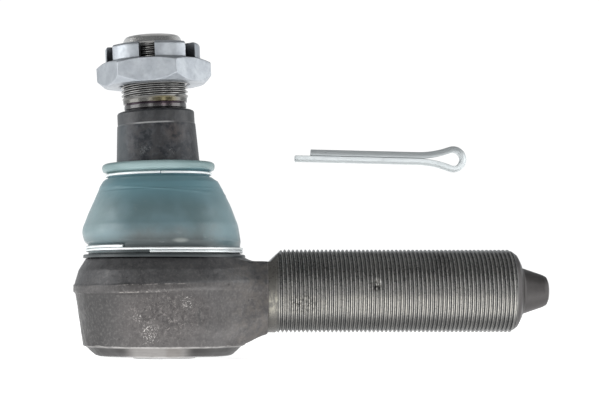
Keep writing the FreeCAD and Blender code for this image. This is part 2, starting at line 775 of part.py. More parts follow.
revolve(nut, "nut_hole", bore_sketch, "V_Axis", "PartDesign::Groove")
before = must_shrink(nut, before, "nut hole")
slot_foot = FreeCAD.Placement(
    FreeCAD.Vector(0, 0, VALUES["nut_bottom"] + VALUES["hex_height"]), FreeCAD.Rotation())
slot_half = dim("slot_width") / 2
reach = dim("crown_round") + 3
slot = outline(nut, "slot_profile", "XY_Plane", [
    (slot_half, reach), (slot_half, -reach), (-slot_half, -reach), (-slot_half, reach),
], slot_foot)
slot.setExpression("AttachmentOffset.Base.z", "Dims.nut_bottom + Dims.hex_height")
slot_cut = nut.newObject("PartDesign::Pocket", "slot")
slot_cut.Profile = slot
slot_cut.Type = 0
slot_cut.Reversed = True
slot_cut.setExpression("Length", "Dims.crown_height + 2")
slot.Visibility = False
before = must_shrink(nut, before, "slot")
slots = nut.newObject("PartDesign::PolarPattern", "slots")
slots.Originals = [slot_cut]
slots.Axis = (slot, ["N_Axis"])
slots.Angle = 120
slots.Occurrences = 3
nut.Tip = slots
must_shrink(nut, before, "slots")
nut.Placement = FreeCAD.Placement(
    ORIGIN, LEAN * FreeCAD.Rotation(FreeCAD.Vector(0, 0, 1), VALUES["nut_turn"]))

# --------------------------------------------------------------- split pin
pin = new_body("cotter_pin")
gap = VALUES["pin_gap"] / 2
eye = VALUES["pin_eye"]
neck = VALUES["pin_neck_arc"]
neck_x = math.sqrt((eye + neck) ** 2 - (neck + gap) ** 2)
touch = math.atan2(neck + gap, -neck_x)
path = new_sketch(pin, "pin_path", "XZ_Plane")
V = FreeCAD.Vector


def arc(cx, cy, radius, start, end):
    return Part.ArcOfCircle(Part.Circle(V(cx, cy, 0), V(0, 0, 1), radius), start, end)


# upper leg, neck arc, eye, neck arc, lower leg, in one tangent run
path.addGeometry(Part.LineSegment(V(-VALUES["pin_short_leg"], gap, 0), V(-neck_x, gap, 0)), False)
path.addGeometry(arc(-neck_x, neck + gap, neck, -math.pi / 2, touch - math.pi), False)
path.addGeometry(arc(0, 0, eye, -touch, touch), False)
path.addGeometry(arc(-neck_x, -(neck + gap), neck, math.pi - touch, math.pi / 2), False)
path.addGeometry(Part.LineSegment(V(-neck_x, -gap, 0), V(-VALUES["pin_long_leg"], -gap, 0)), False)
for link in (
        ("Tangent", 0, 2, 1, 1), ("Tangent", 1, 2, 2, 2),
        ("Tangent", 2, 1, 3, 1), ("Tangent", 3, 2, 4, 1),
        ("Coincident", 2, 3, -1, 1), ("Horizontal", 0), ("Horizontal", 4)):
    path.addConstraint(Sketcher.Constraint(*link))
bind(path, path.addConstraint(Sketcher.Constraint("Radius", 2, eye)), dim("pin_eye"))
bind(path, path.addConstraint(Sketcher.Constraint("Radius", 1, neck)), dim("pin_neck_arc"))
bind(path, path.addConstraint(Sketcher.Constraint("Radius", 3, neck)), dim("pin_neck_arc"))
bind(path, path.addConstraint(Sketcher.Constraint("DistanceY", -1, 1, 0, 1, gap)),
     dim("pin_gap") / 2)
bind(path, path.addConstraint(Sketcher.Constraint("DistanceY", -1, 1, 4, 2, -gap)),
     -(dim("pin_gap") / 2))
bind(path, path.addConstraint(Sketcher.Constraint("DistanceX", -1, 1, 0, 1,
                                                  -VALUES["pin_short_leg"])),
     -dim("pin_short_leg"))
bind(path, path.addConstraint(Sketcher.Constraint("DistanceX", -1, 1, 4, 2,
                                                  -VALUES["pin_long_leg"])),
     -dim("pin_long_leg"))
path.Visibility = False
wire_r = VALUES["pin_wire_radius"]
section = new_sketch(pin, "pin_section", "YZ_Plane",
                     FreeCAD.Placement(V(0, 0, -VALUES["pin_short_leg"]), FreeCAD.Rotation()))
section.setExpression("AttachmentOffset.Base.z", "-Dims.pin_short_leg")
section.addGeometry(arc(0, gap, wire_r, 0, math.pi), False)
section.addGeometry(Part.LineSegment(V(-wire_r, gap, 0), V(wire_r, gap, 0)), False)
for link in (("Coincident", 0, 2, 1, 1), ("Coincident", 0, 1, 1, 2), ("Horizontal", 1),
             ("PointOnObject", 0, 3, -2), ("PointOnObject", 0, 3, 1)):
    section.addConstraint(Sketcher.Constraint(*link))
bind(section, section.addConstraint(Sketcher.Constraint("Radius", 0, wire_r)),
     dim("pin_wire_radius"))
bind(section, section.addConstraint(Sketcher.Constraint("DistanceY", -1, 1, 0, 3, gap)),
     dim("pin_gap") / 2)
section.Visibility = False
legs = pin.newObject("PartDesign::AdditivePipe", "bent_wire")
legs.Profile = section
legs.Spine = (path, ["Edge1", "Edge2", "Edge3", "Edge4", "Edge5"])
legs.Mode = "Frenet"
legs.Transition = "Transformed"
doc.recompute()
pin.Placement = FreeCAD.Placement(
    V(VALUES["pin_eye_x"], 0, VALUES["pin_eye_z"]),
    FreeCAD.Rotation(V(0, 1, 0), VALUES["pin_slope"]))

# ------------------------------------------------------------------ export
doc.recompute()
parts = [housing, stud, upper, lower, thrust, spring, seal, plate, boot,
         bottom_clamp, top_clamp, nut, pin]

for item in doc.Objects:
    state = list(item.State)
    if "Invalid" in state or "Error" in state:
        raise RuntimeError("%s is in state %s" % (item.Name, state))
for item in parts:
    shape = item.Shape
    if shape.isNull() or not shape.isValid() or not shape.Solids:
        raise RuntimeError("%s has no valid solid" % item.Label)

os.makedirs("parts", exist_ok=True)
for item in parts:
    shape = item.Shape
    shape.exportStep("parts/%s.step" % item.Label)
    box = shape.BoundBox
    print("%-20s solids %d faces %3d volume %9.1f  x %.2f..%.2f  y %.2f..%.2f  z %.2f..%.2f" % (
        item.Label, len(shape.Solids), len(shape.Faces), shape.Volume,
        box.XMin, box.XMax, box.YMin, box.YMax, box.ZMin, box.ZMax))
print("shank thread grooves", shank_turns)
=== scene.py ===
import math

import bpy
import numpy as np
from mathutils import Matrix, Vector


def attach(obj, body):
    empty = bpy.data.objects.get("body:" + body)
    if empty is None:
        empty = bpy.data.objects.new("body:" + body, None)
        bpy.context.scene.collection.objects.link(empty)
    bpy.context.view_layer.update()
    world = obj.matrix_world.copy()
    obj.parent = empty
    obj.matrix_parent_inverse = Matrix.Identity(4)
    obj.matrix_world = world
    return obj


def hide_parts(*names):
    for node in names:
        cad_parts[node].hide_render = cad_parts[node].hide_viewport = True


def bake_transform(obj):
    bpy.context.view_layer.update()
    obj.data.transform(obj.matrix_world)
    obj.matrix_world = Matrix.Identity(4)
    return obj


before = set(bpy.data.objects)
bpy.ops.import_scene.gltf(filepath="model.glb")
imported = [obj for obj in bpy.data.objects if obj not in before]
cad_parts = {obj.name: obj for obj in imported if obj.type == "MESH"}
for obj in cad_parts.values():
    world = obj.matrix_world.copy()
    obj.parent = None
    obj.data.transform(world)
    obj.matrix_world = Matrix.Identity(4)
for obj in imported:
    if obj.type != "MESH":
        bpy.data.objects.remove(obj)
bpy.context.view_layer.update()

# All shapes are worked out in millimetres and stored in metres.
MM = 0.001
LEAN = math.radians(3.0)
STUD = Matrix.Rotation(-LEAN, 3, "Y")  # stud frame: its Z runs along the stud
STUD_NP = np.array(STUD)


# ------------------------------------------------------------------ helpers
def noise3(p, size, seed):
    """Smooth value noise from -1 to 1 at points p, with features of about size."""
    rng = np.random.RandomState(seed)
    grid = rng.rand(32, 32, 32) * 2 - 1
    q = p / size + 100.37
    i = np.floor(q).astype(np.int64)
    f = q - i
    f = f * f * f * (f * (f * 6 - 15) + 10)
    out = 0.0
    for dx in (0, 1):
        wx = f[:, 0] if dx else 1 - f[:, 0]
        for dy in (0, 1):
            wy = f[:, 1] if dy else 1 - f[:, 1]
            for dz in (0, 1):
                wz = f[:, 2] if dz else 1 - f[:, 2]
                g = grid[(i[:, 0] + dx) & 31, (i[:, 1] + dy) & 31, (i[:, 2] + dz) & 31]
                out = out + g * wx * wy * wz
    return out


def smin(a, b, k):
    h = np.maximum(k - np.abs(a - b), 0) / k
    return np.minimum(a, b) - h * h * k * 0.25


def smax(a, b, k):
    return -smin(-a, -b, k)


def step(lo, hi, x):
    t = np.clip((x - lo) / (hi - lo), 0, 1)
    return t * t * (3 - 2 * t)


def poly_distance(poly, pts):
    """Signed distance from points to a closed polygon, negative inside."""
    best = np.full(len(pts), 1e9)
    inside = np.zeros(len(pts), bool)
    n = len(poly)
    for k in range(n):
        a, b = np.array(poly[k], float), np.array(poly[(k + 1) % n], float)
        e = b - a
        w = pts - a
        t = np.clip((w @ e) / (e @ e), 0, 1)
        d = w - t[:, None] * e
        best = np.minimum(best, (d * d).sum(1))
        cross = (a[1] > pts[:, 1]) != (b[1] > pts[:, 1])
        with np.errstate(divide="ignore", invalid="ignore"):
            at = a[0] + (pts[:, 1] - a[1]) * e[0] / e[1]
        inside ^= cross & (pts[:, 0] < at)
    best = np.sqrt(best)
    return np.where(inside, -best, best)


class Profile:
    """Distance to a turned shape, from a table over radius and height."""

    def __init__(self, poly, soften, lo=(-3.0, -30.0), hi=(46.0, 24.0), cell=0.1):
        self.lo, self.cell = np.array(lo), cell
        nr = int((hi[0] - lo[0]) / cell) + 1
        nz = int((hi[1] - lo[1]) / cell) + 1
        r = lo[0] + np.arange(nr) * cell
        z = lo[1] + np.arange(nz) * cell
        R, Z = np.meshgrid(r, z, indexing="ij")
        d = poly_distance(poly, np.stack([R.ravel(), Z.ravel()], 1)).reshape(nr, nz)
        if soften > 0:
            taps = int(3 * soften / cell) + 1
            w = np.exp(-0.5 * (np.arange(-taps, taps + 1) * cell / soften) ** 2)
            w /= w.sum()
            for axis in (0, 1):
                pad = [(0, 0), (0, 0)]
                pad[axis] = (taps, taps)
                big = np.pad(d, pad, mode="edge")
                acc = 0.0
                for i, wi in enumerate(w):
                    sl = [slice(None), slice(None)]
                    sl[axis] = slice(i, i + d.shape[axis])
                    acc = acc + wi * big[tuple(sl)]
                d = acc
        self.d = d

    def __call__(self, r, z):
        u = np.clip((r - self.lo[0]) / self.cell, 0, self.d.shape[0] - 1.001)
        v = np.clip((z - self.lo[1]) / self.cell, 0, self.d.shape[1] - 1.001)
        i, j = u.astype(np.int64), v.astype(np.int64)
        a, b = u - i, v - j
        d = self.d
        return (d[i, j] * (1 - a) * (1 - b) + d[i + 1, j] * a * (1 - b)
                + d[i, j + 1] * (1 - a) * b + d[i + 1, j + 1] * a * b)


def surface_nets(f, origin, h):
    """Quads round the zero of a field that is negative inside."""
    s = f < 0
    nx, ny, nz = f.shape
    count = np.zeros((nx - 1, ny - 1, nz - 1), np.uint8)
    for dx in (0, 1):
        for dy in (0, 1):
            for dz in (0, 1):
                count += s[dx:nx - 1 + dx, dy:ny - 1 + dy, dz:nz - 1 + dz]
    cells = (count > 0) & (count < 8)
    ids = np.full(cells.shape, -1, np.int64)
    ci = np.argwhere(cells)
    ids[cells] = np.arange(len(ci))
    acc = np.zeros((len(ci), 3))
    num = np.zeros(len(ci))
    unit = np.eye(3, dtype=np.int64)
    for axis in range(3):
        u, v = (axis + 1) % 3, (axis + 2) % 3
        for a in (0, 1):
            for b in (0, 1):
                c0 = unit[u] * a + unit[v] * b
                c1 = c0 + unit[axis]
                p0, p1 = ci + c0, ci + c1
                v0 = f[p0[:, 0], p0[:, 1], p0[:, 2]]
                v1 = f[p1[:, 0], p1[:, 1], p1[:, 2]]
                m = (v0 < 0) != (v1 < 0)
                t = v0[m] / (v0[m] - v1[m])
                acc[m] += c0 + t[:, None] * unit[axis]
                num[m] += 1
    verts = np.array(origin) + h * (ci + acc / num[:, None])
    quads = []
    for axis in range(3):
        u, v = (axis + 1) % 3, (axis + 2) % 3
        lo = [slice(1, -1)] * 3
        hi = [slice(1, -1)] * 3
        lo[axis] = slice(0, -1)
        hi[axis] = slice(1, None)
        s0, s1 = s[tuple(lo)], s[tuple(hi)]
        at = np.argwhere(s0 != s1)
        start = s0[s0 != s1]
        base = np.ones(3, np.int64)
        base[axis] = 0
        at = at + base

        def cell(du, dv):
            q = at - unit[u] * du - unit[v] * dv
            return ids[q[:, 0], q[:, 1], q[:, 2]]

        q = np.stack([cell(1, 1), cell(0, 1), cell(0, 0), cell(1, 0)], 1)
        q[~start] = q[~start][:, ::-1]
        quads.append(q)
    quads = np.concatenate(quads)
    return verts, quads[(quads >= 0).all(1)]


def field_mesh(fn, lo, hi, h, refine=2):
    """The surface of fn(points) < 0 inside a box."""
    axes = [np.arange(lo[k], hi[k] + h, h) for k in range(3)]
    shape = tuple(len(a) for a in axes)
    f = np.empty(shape)
    Y, Z = np.meshgrid(axes[1], axes[2], indexing="ij")
    for i, x in enumerate(axes[0]):
        p = np.stack([np.full(Y.size, x), Y.ravel(), Z.ravel()], 1)
        f[i] = fn(p).reshape(Y.shape)
    f[f == 0] = 1e-6
    verts, quads = surface_nets(f, lo, h)
    e = 0.05
    for _ in range(refine):
        d = fn(verts)
        g = np.stack([fn(verts + e * np.eye(3)[k]) - fn(verts - e * np.eye(3)[k])
                      for k in range(3)], 1) / (2 * e)
        n2 = np.maximum((g * g).sum(1), 0.25)
        move = g * (d / n2)[:, None]
        size = np.linalg.norm(move, axis=1)
        move *= np.minimum(1, 0.4 * h / np.maximum(size, 1e-9))[:, None]
        verts = verts - move
    return verts, quads


def rounded(points, radii, steps=4):
    """A polyline with its corners turned into small arcs. radii is one number or one per point."""
    pts = [np.array(p, float) for p in points]
    if not hasattr(radii, "__len__"):
        radii = [radii] * len(pts)
    out = [tuple(pts[0])]
    for k in range(1, len(pts) - 1):
        a, b, c = pts[k - 1], pts[k], pts[k + 1]
        u, v = a - b, c - b
        lu, lv = np.linalg.norm(u), np.linalg.norm(v)
        cosang = np.clip((u @ v) / (lu * lv), -1, 1)
        ang = math.acos(cosang)
        r = radii[k]
        if r <= 0 or ang > math.pi - 0.02 or ang < 0.02:
            out.append(tuple(b))
            continue
        t = min(r / math.tan(ang / 2), 0.45 * lu, 0.45 * lv)
        p0, p1 = b + u / lu * t, b + v / lv * t
        for i in range(steps + 1):
            w = i / steps
            q = (1 - w) ** 2 * p0 + 2 * w * (1 - w) * b + w * w * p1
            out.append(tuple(q))
    out.append(tuple(pts[-1]))
    return out


def lathe(profile, n=160, wobble=None):
    """Turns (radius, height) points round Z. A point of radius 0 is a pole. Points run so that the surface faces outwards on their right-hand side going up."""
    verts, rings = [], []
    ang = np.arange(n) * 2 * math.pi / n
    for r, s in profile:
        if r < 1e-6:
            rings.append([len(verts)])
            verts.append((0, 0, s))
        else:
            rr = np.full(n, r)
            if wobble is not None:
                rr = rr + wobble(ang, np.full(n, s), rr)
            rings.append(list(range(len(verts), len(verts) + n)))
            verts += list(zip(rr * np.cos(ang), rr * np.sin(ang), np.full(n, s)))
    faces = []
    for a, b in zip(rings[:-1], rings[1:]):
        for i in range(n):
            j = (i + 1) % n
            if len(a) == 1 and len(b) == 1:
                continue
            if len(a) == 1:
                faces.append((a[0], b[j], b[i]))
            elif len(b) == 1:
                faces.append((a[i], a[j], b[0]))
            else:
                faces.append((a[i], a[j], b[j], b[i]))
    return np.array(verts), faces, rings


def threaded(before, s0, s1, after, pitch, shape, n, depth, envelope):
    """A turned body whose middle, from s0 to s1, carries a right-hand helical thread.
    before and after, (radius, height) points up to s0 and from s1, are not used here; shape is (place in the turn,
    share of depth)."""
    ang = np.arange(n) * 2 * math.pi / n
    m = len(shape)
    turns = int(math.ceil((s1 - s0) / pitch)) + 3
    fr = np.array([p[0] for p in shape])
    dp = np.array([p[1] for p in shape])
    rows = turns * m
    k = np.arange(rows)
    u = (k // m) + fr[k % m] - 2.0
    D = dp[k % m]
    verts, thread_height = [], []
    first, last = [], []
    # clamped end rings
    def add(r, a, s, w):
        verts.append((r * math.cos(a), r * math.sin(a), s))
        thread_height.append(w)
        return len(verts) - 1

    env0 = envelope(np.full(n, s0), ang)
    env1 = envelope(np.full(n, s1), ang)
    ring0 = [add(env0[i], ang[i], s0, 1.0) for i in range(n)]
    ring1 = [add(env1[i], ang[i], s1, 1.0) for i in range(n)]
    table = np.zeros((rows, n), np.int64)
    for i in range(n):
        s = s0 + pitch * (u + i / n)
        inside = (s > s0 + 1e-4) & (s < s1 - 1e-4)
        dd = D * depth(s, np.full(rows, ang[i]))
        top = envelope(s, np.full(rows, ang[i]))
        full = envelope_limit
        r = np.minimum(full - dd, top)
        for row in range(rows):
            if inside[row]:
                table[row, i] = add(r[row], ang[i], s[row],
                                    1.0 - min(1.0, max(0.0, (full - r[row]) / full_depth)))
            else:
                table[row, i] = ring0[i] if s[row] <= s0 + 1e-4 else ring1[i]
    faces = []
    for row in range(rows - 1):
        for i in range(n):
            if i + 1 < n:
                q = (table[row, i], table[row, i + 1], table[row + 1, i + 1], table[row + 1, i])
            else:
                if row + 1 + m >= rows:
                    continue
                q = (table[row, i], table[row + m, 0], table[row + 1 + m, 0], table[row + 1, i])
            keep = []
            for x in q:
                if x not in keep:
                    keep.append(int(x))
            if len(keep) > 2:
                faces.append(tuple(keep))
    return verts, thread_height, faces, ring0, ring1


envelope_limit = 0.0
full_depth = 1.0


def thread_body(name, radius, tooth, before, s0, s1, after, pitch, n, depth, envelope):
    """Joins a lathe start, a threaded middle and a lathe end into one closed surface."""
    global envelope_limit, full_depth
    envelope_limit, full_depth = radius, tooth
    shape = [(0.0, 0.05), (0.06, 0.0), (0.13, 0.0), (0.19, 0.05), (0.30, 0.36), (0.42, 0.72),
             (0.51, 0.97), (0.595, 1.0), (0.68, 0.97), (0.77, 0.72), (0.89, 0.36)]
    shape = [(f, d * tooth) for f, d in shape]
    verts, thread_height, faces, ring0, ring1 = threaded(before, s0, s1, after, pitch, shape, n, depth, envelope)
    ang = np.arange(n) * 2 * math.pi / n

    def ring(r, s):
        if r < 1e-6:
            verts.append((0, 0, s))
            thread_height.append(1.0)
            return [len(verts) - 1]
        rr = envelope(np.full(n, s), ang) if callable(r) else np.full(n, r)
        out = []
        for i in range(n):
            verts.append((rr[i] * math.cos(ang[i]), rr[i] * math.sin(ang[i]), s))
            thread_height.append(1.0)
            out.append(len(verts) - 1)
        return out

    def join(a, b):
        for i in range(n):
            j = (i + 1) % n
            if len(a) == 1:
                faces.append((a[0], b[j], b[i]))
            elif len(b) == 1:
                faces.append((a[i], a[j], b[0]))
            else:
                faces.append((a[i], a[j], b[j], b[i]))

    rings = [ring(r, s) for r, s in before] + [ring0]
    for a, b in zip(rings[:-1], rings[1:]):
        join(a, b)
    rings = [ring1] + [ring(r, s) for r, s in after]
    for a, b in zip(rings[:-1], rings[1:]):
        join(a, b)
    return np.array(verts), faces, np.array(thread_height)


def sweep(points, frames, section, closed=False, ends=0.0):
    """Sweeps a section of (a, b) points along a path. frames gives two unit vectors a point. ends draws the ends in by that much."""
    n = len(section)
    verts, faces = [], []
    sec = np.array(section, float)
    count = len(points)
    rings = []

    def add(p, fa, fb, scale):
        start = len(verts)
        mid = sec.mean(0)
        for q in sec:
            q = mid + (q - mid) * scale
            verts.append(tuple(np.array(p) + fa * q[0] + fb * q[1]))
        rings.append(list(range(start, start + n)))

    pts = [np.array(p, float) for p in points]
    if not closed and ends > 0:
        t = pts[0] - pts[1]
        t /= np.linalg.norm(t)
        size = np.abs(sec - sec.mean(0)).max()
        add(pts[0], *frames[0], max(0.2, 1 - ends / size))
        add(pts[0] - t * ends, *frames[0], 1.0)
    for i in range(1 if ends > 0 else 0, count - (1 if ends > 0 else 0)):
        add(pts[i], *frames[i], 1.0)
    if not closed and ends > 0:
        t = pts[-1] - pts[-2]
        t /= np.linalg.norm(t)
        size = np.abs(sec - sec.mean(0)).max()
        add(pts[-1] - t * ends, *frames[-1], 1.0)
        add(pts[-1], *frames[-1], max(0.2, 1 - ends / size))
    for a, b in zip(rings[:-1], rings[1:]):
        for i in range(n):
            j = (i + 1) % n
            faces.append((a[i], b[i], b[j], a[j]))
    if not closed:
        faces.append(tuple(rings[0]))
        faces.append(tuple(reversed(rings[-1])))
    return np.array(verts), faces


def piece(name, verts, faces, body, node, material, angle=35.0, turn=None, attrs=None, ride=True):
    """A named mesh piece in the row frame, riding a CAD body and standing for a CAD node."""
    v = np.asarray(verts, float)
    if turn is not None:
        v = v @ np.array(turn).T
    v = v * MM
    mesh = bpy.data.meshes.new(name)
    faces = faces.tolist() if isinstance(faces, np.ndarray) else [tuple(int(i) for i in f) for f in faces]
    mesh.from_pydata(v.tolist(), [], faces)
    mesh.validate(verbose=False)
    for key, values in (attrs or {}).items():
        att = mesh.attributes.new(key, "FLOAT", "POINT")
        att.data.foreach_set("value", np.asarray(values, np.float32))
    obj = bpy.data.objects.new(name, mesh)
    bpy.context.scene.collection.objects.link(obj)
    fix_normals(obj)
    mesh.shade_smooth()
    if angle is not None:
        mesh.set_sharp_from_angle(angle=math.radians(angle))
    mesh.materials.append(material)
    if node:
        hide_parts(node)
    if ride:
        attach(obj, body)
    return obj


def fix_normals(obj):
    """Turns the whole mesh outwards if its signed volume says that it faces in."""
    mesh = obj.data
    mesh.calc_loop_triangles()
    n = len(mesh.vertices)
    co = np.zeros(n * 3)
    mesh.vertices.foreach_get("co", co)
    co = co.reshape(-1, 3)
    tri = np.zeros(len(mesh.loop_triangles) * 3, np.int32)
    mesh.loop_triangles.foreach_get("vertices", tri)
    t = co[tri.reshape(-1, 3)]
    vol = np.einsum("ij,ij->i", t[:, 0], np.cross(t[:, 1], t[:, 2])).sum()
    if vol < 0:
        mesh.flip_normals()


# ---------------------------------------------------------------- materials
class Mat:
    """A small builder for node materials in millimetre coordinates."""

    def __init__(self, name):
        self.m = bpy.data.materials.new(name)
        self.m.use_nodes = True
        self.t = self.m.node_tree
        self.t.nodes.clear()
        self.out = self.t.nodes.new("ShaderNodeOutputMaterial")
        self.b = self.t.nodes.new("ShaderNodeBsdfPrincipled")
        self.t.links.new(self.b.outputs[0], self.out.inputs[0])
        co = self.t.nodes.new("ShaderNodeTexCoord")
        mp = self.t.nodes.new("ShaderNodeVectorMath")
        mp.operation = "SCALE"
        mp.inputs["Scale"].default_value = 1000.0
        self.t.links.new(co.outputs["Object"], mp.inputs[0])
        self.p = mp.outputs[0]

    def node(self, kind, **inputs):
        n = self.t.nodes.new(kind)
        for k, v in inputs.items():
            sock = n.inputs[int(k[1:])] if k[0] == "i" and k[1:].isdigit() else n.inputs[k]
            if isinstance(v, bpy.types.NodeSocket):
                self.t.links.new(v, sock)
            else:
                sock.default_value = v
        return n

    def scaled(self, x, y, z, p=None):
        n = self.t.nodes.new("ShaderNodeVectorMath")
        n.operation = "MULTIPLY"
        self.t.links.new(p or self.p, n.inputs[0])
        n.inputs[1].default_value = (x, y, z)
        return n.outputs[0]

    def moved(self, x, y, z, p=None):
        n = self.t.nodes.new("ShaderNodeVectorMath")
        n.operation = "ADD"
        self.t.links.new(p or self.p, n.inputs[0])
        n.inputs[1].default_value = (x, y, z)
        return n.outputs[0]

    def turned(self, angle, axis="Y", p=None):
        n = self.t.nodes.new("ShaderNodeVectorRotate")
        n.rotation_type = axis + "_AXIS"
        self.t.links.new(p or self.p, n.inputs["Vector"])
        n.inputs["Angle"].default_value = angle
        return n.outputs[0]

    def xyz(self, p=None):
        n = self.t.nodes.new("ShaderNodeSeparateXYZ")
        self.t.links.new(p or self.p, n.inputs[0])
        return n.outputs[0], n.outputs[1], n.outputs[2]

    def noise(self, size, detail=3.0, rough=0.55, p=None, distort=0.0):
        """Noise from 0 to 1 with features of about size millimetres."""
        n = self.t.nodes.new("ShaderNodeTexNoise")
        self.t.links.new(p or self.p, n.inputs["Vector"])
        n.inputs["Scale"].default_value = 1.0 / size
        n.inputs["Detail"].default_value = detail
        n.inputs["Roughness"].default_value = rough
        n.inputs["Distortion"].default_value = distort
        return n.outputs["Fac"]

    def cells(self, size, feature="F1", p=None, jitter=1.0):
        n = self.t.nodes.new("ShaderNodeTexVoronoi")
        n.feature = feature
        self.t.links.new(p or self.p, n.inputs["Vector"])
        n.inputs["Scale"].default_value = 1.0 / size
        n.inputs["Randomness"].default_value = jitter
        return n.outputs["Distance"]

    def ramp(self, fac, lo, hi, a=0.0, b=1.0, smooth=True):
        n = self.t.nodes.new("ShaderNodeMapRange")
        n.interpolation_type = "SMOOTHSTEP" if smooth else "LINEAR"
        self.t.links.new(fac, n.inputs["Value"])
        n.inputs["From Min"].default_value = lo
        n.inputs["From Max"].default_value = hi
        n.inputs["To Min"].default_value = a
        n.inputs["To Max"].default_value = b
        return n.outputs["Result"]

    def math(self, op, a, b=None, clamp=False):
        n = self.t.nodes.new("ShaderNodeMath")
        n.operation = op
        n.use_clamp = clamp
        for i, v in enumerate((a, b)):
            if v is None:
                continue
            if isinstance(v, bpy.types.NodeSocket):
                self.t.links.new(v, n.inputs[i])
            else:
                n.inputs[i].default_value = v
        return n.outputs[0]

    def mix(self, fac, a, b, blend="MIX"):
        n = self.t.nodes.new("ShaderNodeMix")
        n.data_type = "RGBA"
        n.blend_type = blend
        for sock, v in ((n.inputs[0], fac), (n.inputs[6], a), (n.inputs[7], b)):
            if isinstance(v, bpy.types.NodeSocket):
                self.t.links.new(v, sock)
            elif isinstance(v, (int, float)):
                sock.default_value = v
            else:
                sock.default_value = (*v, 1.0)
        return n.outputs[2]

    def attribute(self, name):
        n = self.t.nodes.new("ShaderNodeAttribute")
        n.attribute_name = name
        return n.outputs["Fac"]

    def blob(self, centre, size, p=None):
        """1 at a place and 0 beyond it, a soft spot of that size in millimetres on each axis."""
        q = self.moved(-centre[0], -centre[1], -centre[2], p)
        q = self.scaled(1 / size[0], 1 / size[1], 1 / size[2], q)
        n = self.t.nodes.new("ShaderNodeVectorMath")
        n.operation = "LENGTH"
        self.t.links.new(q, n.inputs[0])
        return self.ramp(n.outputs["Value"], 0.25, 1.0, 1.0, 0.0)

    def bump(self, height, distance, strength=1.0, normal=None):
        n = self.t.nodes.new("ShaderNodeBump")
        n.inputs["Strength"].default_value = strength
        n.inputs["Distance"].default_value = distance * MM
        self.t.links.new(height, n.inputs["Height"])
        if normal is not None:
            self.t.links.new(normal, n.inputs["Normal"])
        return n.outputs[0]

    def set(self, **values):
        for k, v in values.items():
            sock = self.b.inputs[k.replace("_", " ")]
            if isinstance(v, bpy.types.NodeSocket):
                self.t.links.new(v, sock)
            elif isinstance(v, tuple) and len(v) == 3:
                sock.default_value = (*v, 1.0)
            else:
                sock.default_value = v
        return self.m


def srgb(r, g, b):
    def lin(c):
        c = c / 255.0
        return c / 12.92 if c <= 0.04045 else ((c + 0.055) / 1.055) ** 2.4
    return (lin(r), lin(g), lin(b))


